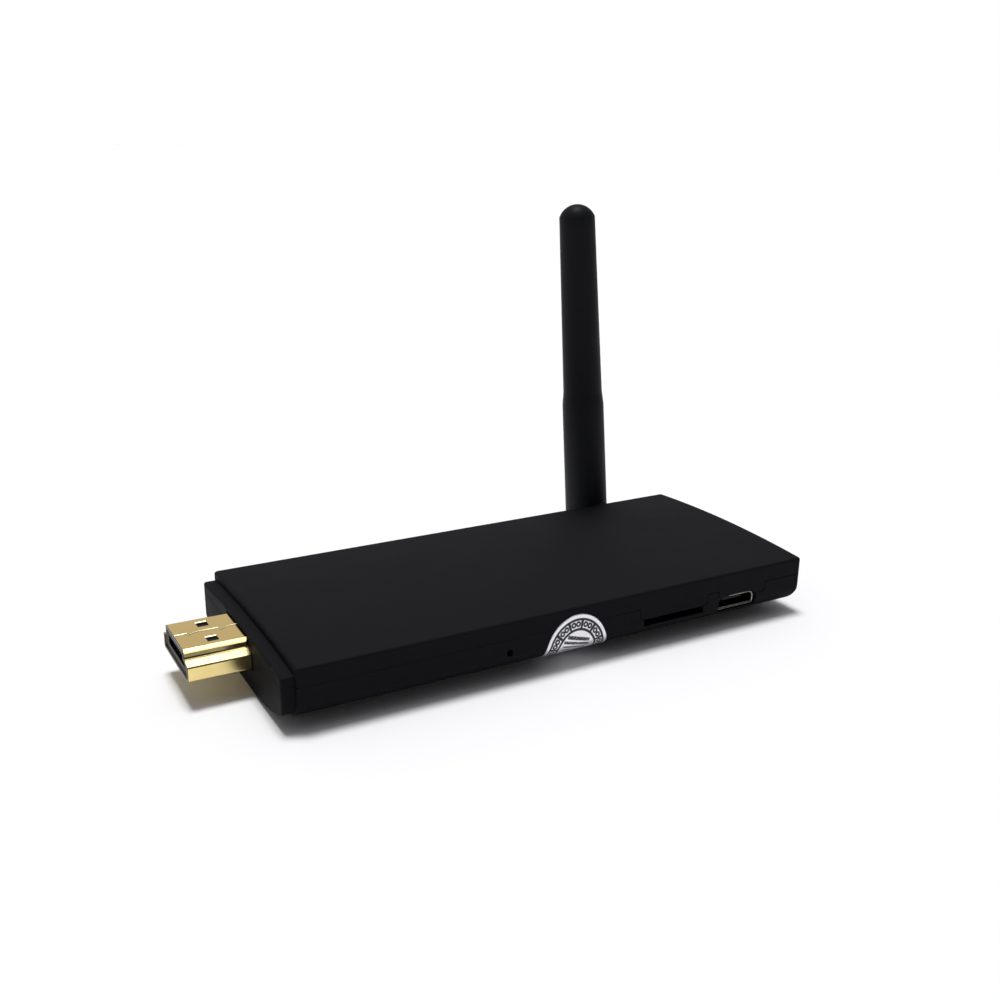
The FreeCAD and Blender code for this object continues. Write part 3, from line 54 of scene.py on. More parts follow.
# %% [markdown]
# ## The camera
# The photographer stood at the plug's corner of the stick and looked down on it by about 18 degrees.
# A camera can be turned by typed angles, but it is easier to give it a place and a point to look at,
# and to work out the turn from the two. The small roll tilts the picture as in the photograph.

# %% Place the camera
def aim(place, target, roll):
    """A camera at place that looks at target, rolled by some degrees."""
    forward = (target - place).normalized()
    right = forward.cross(Vector((0, 0, 1))).normalized()
    up = right.cross(forward)
    c, s = math.cos(math.radians(roll)), math.sin(math.radians(roll))
    right, up = right * c + up * s, up * c - right * s
    turn = Matrix((right, up, -forward)).transposed().to_4x4()
    return Matrix.Translation(place) @ turn


bpy.ops.object.camera_add()
camera = bpy.context.object
camera.name = "camera"
STAND = Vector((-90.41, -154.90, 81.06)) * MM
LOOK_AT = Vector((-3.08, 0.0, 21.915)) * MM
ROLL_DEGREES = 0.83
camera.matrix_world = aim(STAND, LOOK_AT, ROLL_DEGREES)
camera.data.lens = 40.59
camera.data.sensor_width = 36
camera.data.clip_start = 0.005
bpy.context.scene.camera = camera
bpy.context.scene.view_settings.view_transform = "Standard"
print("camera looks along", [round(c, 3) for c in camera.matrix_world.to_3x3() @ Vector((0, 0, -1))])


# %% [markdown]
# ## Floor and lamp
# The stick lies on a white sweep under one lamp. The floor is a wide plate of nearly white paint, so
# that it keeps the shadow. The lamp hangs nearly overhead and a little behind: the shadow is short, and
# its edge, about two millimetres wide for an edge ten millimetres up, tells that the lamp looks about
# 16 degrees wide from the floor.

# %% Pour the floor
bpy.ops.object.select_all(action="DESELECT")
FLOOR_WIDTH = 8.0
bpy.ops.mesh.primitive_plane_add(size=FLOOR_WIDTH, location=(0, 0, 0))
floor = bpy.context.object
floor.name = "floor"


def new_finish(name):
    """A material with its node tree and its main shader."""
    material = bpy.data.materials.new(name)
    material.use_nodes = True
    return material, material.node_tree, material.node_tree.nodes["Principled BSDF"]


paper, tree, shader = new_finish("floor_paper")
shader.inputs["Base Color"].default_value = (0.97, 0.97, 0.975, 1)
shader.inputs["Roughness"].default_value = 0.9
shader.inputs["Specular IOR Level"].default_value = 0.0
floor.data.materials.append(paper)
print("floor is", floor.dimensions.x, "m wide")

# %% Hang the lamp
bpy.ops.object.light_add(type="SUN")
lamp = bpy.context.object
lamp.name = "softbox"
lamp.data.angle = math.radians(16)
lamp.data.energy = 2.33
LAMP_FROM = Vector((0.02, 0.17, 1.0))
lamp.matrix_world = aim(LAMP_FROM, Vector((0, 0, 0)), 0)
print("lamp energy", lamp.data.energy)


# %% [markdown]
# ## Helpers for finishes
# Every finish below is built from a few steps: a noise at the size of the real grain, a ramp that turns
# it into two near colours, a range that turns it into a roughness, and a bump. Object coordinates are
# in metres, so a grain of 0.2 mm has a scale of 1 / 0.0002 = 5000.

# %% Node helpers
def grain(tree, size_mm, stretch=(1, 1, 1), detail=2.0, roughness=0.5):
    """Noise with grains of about size_mm; a stretch below 1 draws them out along that axis."""
    place = tree.nodes.new("ShaderNodeTexCoord")
    mapping = tree.nodes.new("ShaderNodeMapping")
    mapping.inputs["Scale"].default_value = stretch
    noise = tree.nodes.new("ShaderNodeTexNoise")
    noise.inputs["Scale"].default_value = 1 / (size_mm * MM)
    noise.inputs["Detail"].default_value = detail
    noise.inputs["Roughness"].default_value = roughness
    tree.links.new(place.outputs["Object"], mapping.inputs["Vector"])
    tree.links.new(mapping.outputs["Vector"], noise.inputs["Vector"])
    return noise.outputs["Fac"]


def two_colours(tree, shader, source, first, second, start=0.35, end=0.65):
    """The base colour runs from first to second as the source goes from start to end."""
    ramp = tree.nodes.new("ShaderNodeValToRGB")
    ramp.color_ramp.elements[0].position = start
    ramp.color_ramp.elements[0].color = (*first, 1)
    ramp.color_ramp.elements[1].position = end
    ramp.color_ramp.elements[1].color = (*second, 1)
    tree.links.new(source, ramp.inputs["Fac"])
    tree.links.new(ramp.outputs["Color"], shader.inputs["Base Color"])
    return ramp


def spread(tree, source, low, high, socket=None, start=0.3, end=0.7):
    """A number that runs from low to high as the source goes from start to end."""
    change = tree.nodes.new("ShaderNodeMapRange")
    change.inputs["From Min"].default_value = start
    change.inputs["From Max"].default_value = end
    change.inputs["To Min"].default_value = low
    change.inputs["To Max"].default_value = high
    tree.links.new(source, change.inputs["Value"])
    if socket:
        tree.links.new(change.outputs["Result"], socket)
    return change.outputs["Result"]


def relief(tree, shader, source, depth_mm, strength=1.0):
    """A bump of about depth_mm from the source."""
    bump = tree.nodes.new("ShaderNodeBump")
    bump.inputs["Strength"].default_value = strength
    bump.inputs["Distance"].default_value = depth_mm * MM
    tree.links.new(source, bump.inputs["Height"])
    tree.links.new(bump.outputs["Normal"], shader.inputs["Normal"])
    return bump


def calculate(tree, operation, first, second=None, third=None):
    """One step of arithmetic; first, second and third are numbers or outputs."""
    step = tree.nodes.new("ShaderNodeMath")
    step.operation = operation
    for socket, given in zip(step.inputs, (first, second, third)):
        if isinstance(given, (int, float)):
            socket.default_value = given
        elif given is not None:
            tree.links.new(given, socket)
    return step.outputs["Value"]


def between(tree, source, low, high, soft=0.04):
    """1 where the source, in metres, lies between low and high, both in mm; soft edges."""
    above = spread(tree, source, 0.0, 1.0, start=(low - soft) * MM, end=(low + soft) * MM)
    below = spread(tree, source, 1.0, 0.0, start=(high - soft) * MM, end=(high + soft) * MM)
    return calculate(tree, "MULTIPLY", above, below)


# %% [markdown]
# ## The room
# Polished gold shows the room more than itself, so the room matters here. What each face of the plug
# mirrors can be worked out from its slope: the flat top looks about 25 degrees above the horizon,
# which is dim; the rounded ridge and the sloping shoulder look about 70 degrees up, at a long bright
# window. The side where the photographer stands is dark, which keeps the shadow deep.
# The camera alone sees plain white behind the stick.

# %% Paint the room
world = bpy.data.worlds.new("studio")
bpy.context.scene.world = world
world.use_nodes = True
tree = world.node_tree
tree.nodes.clear()
output = tree.nodes.new("ShaderNodeOutputWorld")
sight = tree.nodes.new("ShaderNodeBackground")
room = tree.nodes.new("ShaderNodeBackground")
sight.inputs["Color"].default_value = (1, 1, 1, 1)
coordinates = tree.nodes.new("ShaderNodeTexCoord")
split = tree.nodes.new("ShaderNodeSeparateXYZ")
tree.links.new(coordinates.outputs["Generated"], split.inputs["Vector"])
LEVELS = ((0.0, 0.40), (0.12, 0.40), (0.24, 0.50), (0.34, 0.62), (0.47, 0.62),
          (0.55, 0.25), (0.64, 0.25), (0.72, 0.40), (0.84, 0.45), (1.0, 0.45))
height = tree.nodes.new("ShaderNodeValToRGB")
stops = height.color_ramp.elements
stops[1].position = LEVELS[-1][0]
for level, grey in LEVELS[1:-1]:
    stops.new(level)
for stop, (level, grey) in zip(stops, LEVELS):
    stop.color = (grey, grey, grey * 1.04, 1)
tree.links.new(split.outputs["Z"], height.inputs["Fac"])
PHOTOGRAPHER_SIDE, FAR_SIDE = 0.2, 1.0
behind = spread(tree, split.outputs["Y"], PHOTOGRAPHER_SIDE, FAR_SIDE, start=-0.6, end=0.6)
WINDOW_AT = (0.22, 0.05, 0.0)
WINDOW_LENGTHENED = (1.0, 0.3, 0.0)
WINDOW_LEVEL = 3.9
offset = tree.nodes.new("ShaderNodeVectorMath")
offset.operation = "SUBTRACT"
offset.inputs[1].default_value = WINDOW_AT
tree.links.new(coordinates.outputs["Generated"], offset.inputs[0])
squeezed = tree.nodes.new("ShaderNodeVectorMath")
squeezed.operation = "MULTIPLY"
squeezed.inputs[1].default_value = WINDOW_LENGTHENED
tree.links.new(offset.outputs["Vector"], squeezed.inputs[0])
away = tree.nodes.new("ShaderNodeVectorMath")
away.operation = "LENGTH"
tree.links.new(squeezed.outputs["Vector"], away.inputs[0])
glow = spread(tree, away.outputs["Value"], WINDOW_LEVEL, 0.0, start=0.08, end=0.13)
brightness = calculate(tree, "ADD", glow, behind)
tree.links.new(height.outputs["Color"], room.inputs["Color"])
tree.links.new(brightness, room.inputs["Strength"])
path = tree.nodes.new("ShaderNodeLightPath")
choice = tree.nodes.new("ShaderNodeMixShader")
tree.links.new(path.outputs["Is Camera Ray"], choice.inputs["Fac"])
tree.links.new(room.outputs["Background"], choice.inputs[1])
tree.links.new(sight.outputs["Background"], choice.inputs[2])
tree.links.new(choice.outputs["Shader"], output.inputs["Surface"])
print("room levels:", len(LEVELS))


# %% [markdown]
# ## Black housing
# The case is moulded plastic with a matt, slightly rubbery coat. Its black isn't even: fingers leave
# faint smears that change only the gloss. Two noises do that: a fine one for the grain of the mould
# and a wide one for the smears. One noise alone looks like dust on glass.

# %% Mix the blacks
def moulded_black(name, first, second, low, high, grain_mm, depth_mm, specular):
    """A moulded black plastic."""
    material, tree, shader = new_finish(name)
    fine = grain(tree, grain_mm, detail=3)
    wide = grain(tree, 9.0, detail=4)
    two_colours(tree, shader, wide, first, second)
    spread(tree, wide, low, high, shader.inputs["Roughness"])
    shader.inputs["Specular IOR Level"].default_value = specular
    relief(tree, shader, fine, depth_mm, 0.6)
    return material


# name, two colours, roughness from and to, grain and depth in mm, specular level
BLACKS = (
    ("housing_black", (0.0062, 0.0063, 0.0078), (0.0076, 0.0077, 0.0094), 0.60, 0.70, 0.14, 0.02, 0.06),
    ("antenna_black", (0.0098, 0.0102, 0.0124), (0.0114, 0.0118, 0.0142), 0.42, 0.52, 0.2, 0.012, 0.06),
    ("core_black", (0.005, 0.0055, 0.009), (0.008, 0.009, 0.014), 0.4, 0.5, 0.3, 0.005, 0.15),
    ("chip_black", (0.015, 0.015, 0.016), (0.024, 0.024, 0.025), 0.5, 0.65, 0.08, 0.01, 0.4),
    ("switch_black", (0.012, 0.012, 0.012), (0.02, 0.02, 0.02), 0.35, 0.5, 0.15, 0.01, 0.5),
)
finishes = {name: moulded_black(name, *looks) for name, *looks in BLACKS}
print("black finishes:", sorted(finishes))


# %% [markdown]
# ## Painted light on the antenna's foot
# The antenna is moulded in one black. Its foot, just above the case, is painted a little paler: painted
# light, so that it looks no darker than its middle although the case keeps some light from it. A second
# material would end at a hard line. Here the antenna's black fades into a paler one with the height
# above the floor.

# %% Paint light on the antenna's foot
tree = finishes["antenna_black"].node_tree
shader = tree.nodes["Principled BSDF"]
place = tree.nodes.new("ShaderNodeTexCoord")
split = tree.nodes.new("ShaderNodeSeparateXYZ")
tree.links.new(place.outputs["Object"], split.inputs["Vector"])
faded = tree.nodes.new("ShaderNodeMix")
faded.data_type = "RGBA"
FADE_FROM, FADE_TO = 14, 32
spread(tree, split.outputs["Z"], 1.0, 0.0, faded.inputs["Factor"],
       start=FADE_FROM * MM, end=FADE_TO * MM)
tree.links.new(shader.inputs["Base Color"].links[0].from_socket, faded.inputs["A"])
# The paler black near the foot is painted light.
faded.inputs["B"].default_value = (0.0230, 0.0240, 0.0290, 1)
tree.links.new(faded.outputs["Result"], shader.inputs["Base Color"])
print("foot fades below", FADE_TO, "mm")


# %% [markdown]
# ## Metals
# The plug is gold over nickel on folded steel sheet. Rolling and folding leave fine lines along the
# sheet, so the noise is drawn out along the plug. Polished metal shows little of its own: nearly all
# that is seen is the room, so small changes of roughness matter more than colour.

# %% Plate and turn the metals
def metal(name, first, second, low, high, grain_mm, stretch, depth_mm):
    """A metal with grain drawn out one way."""
    material, tree, shader = new_finish(name)
    lines = grain(tree, grain_mm, stretch, detail=3)
    wide = grain(tree, 3.0, detail=3)
    two_colours(tree, shader, wide, first, second)
    spread(tree, wide, low, high, shader.inputs["Roughness"])
    shader.inputs["Metallic"].default_value = 1.0
    relief(tree, shader, lines, depth_mm, 0.5)
    return material


# name, two colours, roughness from and to, grain in mm, stretch, depth in mm
METALS = (
    ("gold_plate", (0.83, 0.66, 0.28), (0.87, 0.71, 0.33), 0.12, 0.18, 0.12, (0.05, 1, 1), 0.004),
    # seam_gold is paler than the plate: a painted highlight for the seam and latch rims
    ("seam_gold", (0.92, 0.84, 0.56), (0.95, 0.88, 0.62), 0.32, 0.4, 0.12, (0.05, 1, 1), 0.002),
    ("contact_gold", (0.72, 0.50, 0.17), (0.80, 0.58, 0.22), 0.2, 0.3, 0.1, (0.2, 1, 1), 0.003),
    ("nickel_plate", (0.60, 0.59, 0.57), (0.70, 0.69, 0.67), 0.18, 0.28, 0.1, (1, 0.2, 1), 0.003),
    ("lip_nickel", (0.44, 0.42, 0.36), (0.54, 0.51, 0.43), 0.3, 0.4, 0.1, (1, 0.2, 1), 0.002),
    ("screw_steel", (0.42, 0.42, 0.43), (0.52, 0.52, 0.53), 0.28, 0.4, 0.1, (1, 1, 0.3), 0.004),
    ("can_steel", (0.55, 0.55, 0.54), (0.63, 0.63, 0.62), 0.25, 0.36, 0.15, (0.2, 1, 1), 0.003),
    ("clip_steel", (0.36, 0.36, 0.37), (0.45, 0.45, 0.46), 0.3, 0.42, 0.1, (1, 1, 1), 0.004),
    ("sink_aluminium", (0.66, 0.67, 0.68), (0.74, 0.75, 0.76), 0.3, 0.45, 0.1, (0.1, 1, 1), 0.006),
    ("pin_brass", (0.62, 0.46, 0.20), (0.72, 0.55, 0.26), 0.25, 0.38, 0.08, (1, 0.2, 1), 0.005),
)
finishes.update({name: metal(name, *looks) for name, *looks in METALS})
print("metal finishes:", len(METALS))


# %% [markdown]
# ## Marks and painted shade on the plug
# Four things on the plug are finer than its shell was drawn. Its flat top is painted a deeper yellow. The
# upper long edges are rounder than the sheet's bend, so there the surface is lit as if it leaned 30
# degrees. The crease under them is painted dark, as painted shade, most of it near the tip. The cut front
# edge is painted a dark blue-black that is not metallic. They could be painted on a picture wrapped round
# the plug. It is simpler to make each a zone of the piece's own coordinates: how far aside of the
# plug's middle, how high, how far forward.

# %% Mark the plug
RIDGE_LEAN = math.radians(30)
RIDGE_HIGH, STEP_HIGH = 0.62, 1.52
RIDGE_FROM, RIDGE_TO = 4.72, 6.0
CREASE_BAND = (5.0, 5.6)
PLUG_MIDDLE = 0.6


def plug_marks(material, low, high, middle):
    """A yellower top, rounder ridges, painted shade in the creases and a dark front edge on the plug's
    gold.
    """
    tree = material.node_tree
    shader = tree.nodes["Principled BSDF"]
    place = tree.nodes.new("ShaderNodeTexCoord")
    split = tree.nodes.new("ShaderNodeSeparateXYZ")
    tree.links.new(place.outputs["Object"], split.inputs["Vector"])
    offside = calculate(tree, "SUBTRACT", split.outputs["Y"], middle * MM)
    aside = calculate(tree, "ABSOLUTE", offside)
    ridge = calculate(tree, "MULTIPLY",
                      between(tree, split.outputs["Z"], high.z - RIDGE_HIGH, high.z + 1),
                      between(tree, aside, RIDGE_FROM, RIDGE_TO))
    # Painted shade in the crease under the ridge.
    painted_crease_shade = calculate(tree, "MULTIPLY",
                       between(tree, split.outputs["Z"], high.z - STEP_HIGH, high.z - RIDGE_HIGH),
                       between(tree, aside, *CREASE_BAND, 0.08))
    towards_tip = spread(tree, split.outputs["X"], 1.0, 0.3,
                         start=(low.x + 3.5) * MM, end=(low.x + 8.5) * MM)
    painted_crease_shade = calculate(tree, "MULTIPLY", painted_crease_shade, towards_tip)
    front = between(tree, split.outputs["X"], low.x - 1, low.x + 0.1, 0.02)
    leaning = tree.nodes.new("ShaderNodeCombineXYZ")
    side = calculate(tree, "SIGN", offside)
    tree.links.new(calculate(tree, "MULTIPLY", side, math.sin(RIDGE_LEAN)), leaning.inputs["Y"])
    leaning.inputs["Z"].default_value = math.cos(RIDGE_LEAN)
    outline = tree.nodes.new("ShaderNodeNewGeometry")
    turned = tree.nodes.new("ShaderNodeMix")
    turned.data_type = "VECTOR"
    tree.links.new(calculate(tree, "MULTIPLY", ridge, 0.95), turned.inputs["Factor"])
    tree.links.new(outline.outputs["Normal"], turned.inputs["A"])
    tree.links.new(leaning.outputs["Vector"], turned.inputs["B"])
    bump = shader.inputs["Normal"].links[0].from_node
    tree.links.new(turned.outputs["Result"], bump.inputs["Normal"])
    colour = shader.inputs["Base Color"].links[0].from_socket
    tree.links.new(calculate(tree, "SUBTRACT", 1.0, front), shader.inputs["Metallic"])
    shader.inputs["Specular IOR Level"].default_value = 0.1
    flat = calculate(tree, "MULTIPLY", between(tree, split.outputs["Z"], high.z - 0.25, high.z + 1),
                     between(tree, aside, -1.0, RIDGE_FROM))
    # The crease's dark tone is painted shade.
    for zone, tone, strength in ((flat, (0.84, 0.61, 0.215, 1), 0.95),
                                 (painted_crease_shade, (0.10, 0.085, 0.045, 1), 0.78),
                                 (front, (0.020, 0.023, 0.034, 1), 0.95)):
        layer = tree.nodes.new("ShaderNodeMix")
        layer.data_type = "RGBA"
        tree.links.new(calculate(tree, "MULTIPLY", zone, strength), layer.inputs["Factor"])
        tree.links.new(colour, layer.inputs["A"])
        layer.inputs["B"].default_value = tone
        colour = layer.outputs["Result"]
    tree.links.new(colour, shader.inputs["Base Color"])


shell_low, shell_high = [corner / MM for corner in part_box("plug_shell")]
plug_marks(finishes["gold_plate"], shell_low, shell_high, PLUG_MIDDLE)
print("plug shell from", [round(c, 2) for c in shell_low], "to", [round(c, 2) for c in shell_high])


# %% [markdown]
# ## The small socket
# The small socket in the near wall is plated like the big one, but its sheet lies in the dark of the
# case, and in the photo only its lip shows. It could have a finish of its own. Both sockets are the
# same stock, though, so here one nickel is painted dark wherever it is near that wall: painted shade.

# %% Paint shade on the small socket
tree = finishes["nickel_plate"].node_tree
shader = tree.nodes["Principled BSDF"]
place = tree.nodes.new("ShaderNodeTexCoord")
split = tree.nodes.new("ShaderNodeSeparateXYZ")
tree.links.new(place.outputs["Object"], split.inputs["Vector"])
dim = tree.nodes.new("ShaderNodeMix")
dim.data_type = "RGBA"
DIM_BEYOND = -12
spread(tree, split.outputs["Y"], 0.85, 0.0, dim.inputs["Factor"],
       start=(DIM_BEYOND - 1) * MM, end=DIM_BEYOND * MM)
tree.links.new(shader.inputs["Base Color"].links[0].from_socket, dim.inputs["A"])
# Painted shade: the nickel near the near wall is painted dark.
dim.inputs["B"].default_value = (0.03, 0.03, 0.032, 1)
tree.links.new(dim.outputs["Result"], shader.inputs["Base Color"])
print("nickel is dim beyond", DIM_BEYOND, "mm")


# %% [markdown]
# ## Board, ceramics and small parts
# These lie inside, but they are finished as what they are: a green solder mask with copper lines under
# it, grey ceramic, nylon and rubber. They are plastics and paints without metal, so one helper serves.

# %% Finish the small parts
def matt(name, first, second, low, high, grain_mm, depth_mm, specular=0.5):
    """A paint, ceramic, nylon or rubber."""
    material, tree, shader = new_finish(name)
    fine = grain(tree, grain_mm, detail=3)
    two_colours(tree, shader, fine, first, second)
    spread(tree, fine, low, high, shader.inputs["Roughness"])
    shader.inputs["Specular IOR Level"].default_value = specular
    relief(tree, shader, fine, depth_mm, 0.6)
    return material


def solder_mask(name):
    """Green mask with paler copper lines under it."""
    material, tree, shader = new_finish(name)
    place = tree.nodes.new("ShaderNodeTexCoord")
    lines = tree.nodes.new("ShaderNodeTexBrick")
    lines.inputs["Scale"].default_value = 420
    lines.inputs["Mortar Size"].default_value = 0.035
    lines.inputs["Color1"].default_value = (0.006, 0.050, 0.022, 1)
    lines.inputs["Color2"].default_value = (0.008, 0.062, 0.026, 1)
    lines.inputs["Mortar"].default_value = (0.020, 0.115, 0.045, 1)
    tree.links.new(place.outputs["Object"], lines.inputs["Vector"])
    tree.links.new(lines.outputs["Color"], shader.inputs["Base Color"])
    spread(tree, grain(tree, 1.5), 0.25, 0.4, shader.inputs["Roughness"])
    relief(tree, shader, lines.outputs["Fac"], 0.02, 0.5)
    return material


# name, two colours, roughness from and to, grain and depth in mm, and where it isn't 0.5 the
# specular level
SMALL_PARTS = (
    ("pad_grey", (0.22, 0.23, 0.26), (0.30, 0.31, 0.34), 0.6, 0.75, 0.2, 0.02, 0.3),
    ("ceramic_tan", (0.38, 0.27, 0.17), (0.46, 0.33, 0.21), 0.45, 0.6, 0.1, 0.005),
    ("coil_grey", (0.05, 0.05, 0.052), (0.09, 0.09, 0.092), 0.5, 0.7, 0.15, 0.02),
    ("plunger_white", (0.70, 0.69, 0.66), (0.76, 0.75, 0.72), 0.35, 0.45, 0.3, 0.005),
    ("washer_nylon", (0.66, 0.65, 0.60), (0.74, 0.73, 0.68), 0.4, 0.5, 0.2, 0.005),
    ("lead_grey", (0.10, 0.10, 0.105), (0.14, 0.14, 0.145), 0.4, 0.5, 0.15, 0.005),
)
finishes["board_green"] = solder_mask("board_green")
finishes.update({name: matt(name, *looks) for name, *looks in SMALL_PARTS})
print("finishes in all:", len(finishes))


# %% [markdown]
# ## The printed seal
# The seal is a round silvery foil with a plain rim, a dark ring, a band of cells and a white middle
# with a few bars. The print has no words here: each cell holds two small rings, marks that say nothing.
# It could be an image, but a print made of rings and sectors is easy to draw with numbers: how far a
# point is from the middle and in what direction. A Mapping node first lays the seal flat, so that its
# rim is the unit circle.

# %% Draw with numbers
OUTER_RING, INNER_RING = (0.880, 0.032), (0.615, 0.034)
BAND_MIDDLE, BAND_HALF = 0.755, 0.130
CELLS, CELL_LENGTH, CELL_SHIFT = 12, 0.395, 20.35
MARK_APART, MARK_RADIUS, MARK_HALF = 0.075, 0.054, 0.028
BAR_LEAN = math.radians(15)
# height of the bar, half its width, left end, right end
BARS = ((0.36, 0.050, -0.42, 0.32), (0.215, 0.042, -0.50, 0.36),
        (0.07, 0.030, -0.50, 0.30), (-0.07, 0.030, -0.46, 0.34))


def stripe(tree, source, middle, half, soft=0.012):
    """1 where the source is within half of middle, 0 elsewhere, with a soft edge."""
    apart = calculate(tree, "ABSOLUTE", calculate(tree, "SUBTRACT", source, middle))
    return spread(tree, apart, 1.0, 0.0, start=half - soft, end=half + soft)


def printed_seal(name, middle, tilt, radii):
    """Silvery foil with a printed ring, cells with small rings, and bars."""
    material, tree, shader = new_finish(name)
    place = tree.nodes.new("ShaderNodeTexCoord")
    flat = tree.nodes.new("ShaderNodeMapping")
    flat.vector_type = "TEXTURE"
    flat.inputs["Location"].default_value = middle
    flat.inputs["Rotation"].default_value = (tilt, 0, 0)
    flat.inputs["Scale"].default_value = (*radii, 1)
    split = tree.nodes.new("ShaderNodeSeparateXYZ")
    tree.links.new(place.outputs["Object"], flat.inputs["Vector"])
    tree.links.new(flat.outputs["Vector"], split.inputs["Vector"])
    across, up = split.outputs["X"], split.outputs["Y"]
    reach = calculate(tree, "SQRT", calculate(tree, "ADD", calculate(tree, "MULTIPLY", across, across),
                                              calculate(tree, "MULTIPLY", up, up)))
    turn = calculate(tree, "ARCTAN2", up, across)
    rings = calculate(tree, "MAXIMUM", stripe(tree, reach, *OUTER_RING),
                      stripe(tree, reach, *INNER_RING))
    band = stripe(tree, reach, BAND_MIDDLE, BAND_HALF)
    sector = calculate(tree, "FRACT", calculate(tree, "MULTIPLY_ADD", turn, CELLS / math.tau, CELL_SHIFT))
    edge = stripe(tree, calculate(tree, "PINGPONG", sector, 0.5), 0.0, 0.10, 0.03)
    dividers = calculate(tree, "MULTIPLY", edge, band)
    aside = calculate(tree, "MULTIPLY", calculate(tree, "SUBTRACT", sector, 0.5), CELL_LENGTH)
    above = calculate(tree, "SUBTRACT", reach, BAND_MIDDLE)
    apart = calculate(tree, "SUBTRACT", calculate(tree, "ABSOLUTE", aside), MARK_APART)
    away = calculate(tree, "SQRT", calculate(tree, "ADD", calculate(tree, "MULTIPLY", apart, apart),
                                             calculate(tree, "MULTIPLY", above, above)))
    marks = calculate(tree, "MULTIPLY", stripe(tree, away, MARK_RADIUS, MARK_HALF), 0.9)
    along = calculate(tree, "SUBTRACT", calculate(tree, "MULTIPLY", across, math.cos(BAR_LEAN)),
                      calculate(tree, "MULTIPLY", up, math.sin(BAR_LEAN)))
    over = calculate(tree, "ADD", calculate(tree, "MULTIPLY", across, math.sin(BAR_LEAN)),
                     calculate(tree, "MULTIPLY", up, math.cos(BAR_LEAN)))
    specks = spread(tree, grain(tree, 0.28, detail=1), 0.7, 1.0, start=0.42, end=0.52)
    bars = None
    for level, half, left, right in BARS:
        bar = calculate(tree, "MULTIPLY", stripe(tree, over, level, half),
                        stripe(tree, along, (left + right) / 2, (right - left) / 2))
        bar = calculate(tree, "MULTIPLY", bar, specks)
        bars = bar if bars is None else calculate(tree, "MAXIMUM", bars, bar)
    ink = calculate(tree, "MAXIMUM", calculate(tree, "MAXIMUM", rings, dividers),
                    calculate(tree, "MAXIMUM", marks, bars))
    faded = calculate(tree, "MULTIPLY", ink, spread(tree, grain(tree, 0.35), 0.8, 1.0))
    two_colours(tree, shader, faded, (0.92, 0.92, 0.95), (0.012, 0.012, 0.014), 0.12, 0.75)
    spread(tree, faded, 0.65, 0.0, shader.inputs["Metallic"], 0.1, 0.6)
    spread(tree, faded, 0.30, 0.5, shader.inputs["Roughness"], 0, 1)
    shader.inputs["Specular IOR Level"].default_value = 0.4
    relief(tree, shader, grain(tree, 0.5), 0.006, 0.4)
    return material


SEAL_MIDDLE = Vector((-0.25, -19.2, 3.25)) * MM
SEAL_TILT = math.radians(129)
SEAL_RADII = (5.7 * MM, 4.95 * MM)
finishes["seal_silver"] = printed_seal("seal_silver", SEAL_MIDDLE, SEAL_TILT, SEAL_RADII)
print("seal has", len(finishes["seal_silver"].node_tree.nodes), "nodes")


# %% [markdown]
# ## Which piece has which finish
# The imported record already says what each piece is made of, by the names of its finishes. They could
# be chosen here once more by hand, but a list that is kept in two places soon says two things.

# %% Put the finishes on the pieces
slots = {part["node"]: part["material_slot"] for part in frame["record"]["subparts"]}
for name, piece in nodes.items():
    piece.data.materials.clear()
    piece.data.materials.append(finishes[slots[name]])
print("finished pieces:", len(slots))


# %% [markdown]
# ## Smooth copies of the moulded pieces
# The frame's meshes are loose flat triangles, which is right for measuring and wrong for looking at:
# every round edge shows its facets. The frame itself isn't changed. A copy of a piece has its corners
# merged, and is shaded smooth wherever two faces meet at less than 30 degrees, so that round edges
# flow and real corners stay sharp. The copy then stands for the piece.

# %% Make a smooth copy
bodies = {}
for body, things in frame["record"]["behaviour"]["bodies"].items():
    for thing in things:
        bodies[thing] = body


def smooth_copy(name, angle=30):
    """A merged, smoothly shaded copy of a piece of the frame that stands for it."""
    bpy.ops.object.select_all(action="DESELECT")
    source = nodes[name]
    copy = source.copy()
    copy.data = source.data.copy()
    copy.name = name + "_smooth"
    for key in list(copy.keys()):
        del copy[key]
    bpy.context.scene.collection.objects.link(copy)
    copy.parent = None
    copy.select_set(True)
    bpy.context.view_layer.objects.active = copy
    bpy.ops.object.mode_set(mode="EDIT")
    bpy.ops.mesh.select_all(action="SELECT")
    bpy.ops.mesh.remove_doubles(threshold=0.000002)
    bpy.ops.object.mode_set(mode="OBJECT")
    if copy.data.has_custom_normals:
        bpy.ops.mesh.customdata_custom_splitnormals_clear()
    bpy.ops.object.shade_smooth_by_angle(angle=math.radians(angle))
    bpy.ops.object.modifier_add(type="WEIGHTED_NORMAL")
    copy.modifiers["WeightedNormal"].keep_sharp = True
    bpy.ops.object.modifier_apply(modifier="WeightedNormal")
    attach(copy, bodies[name])
    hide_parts(name)
    return copy


smooth = {name: smooth_copy(name) for name in nodes}
print("smooth copies:", len(smooth))


# %% [markdown]
# ## The seam of the plug
# The plug's shell is one strip of sheet, folded round and locked with two dovetails on its narrow
# side. The two ends never lie quite level, so the seam shows as a fine bright line. A round bead that
# is half sunk in the sheet gives that line, and is drawn as a curve through the corners of the seam.
# Its gold is paler than the plate's, a painted highlight on top of what the lamp gives.

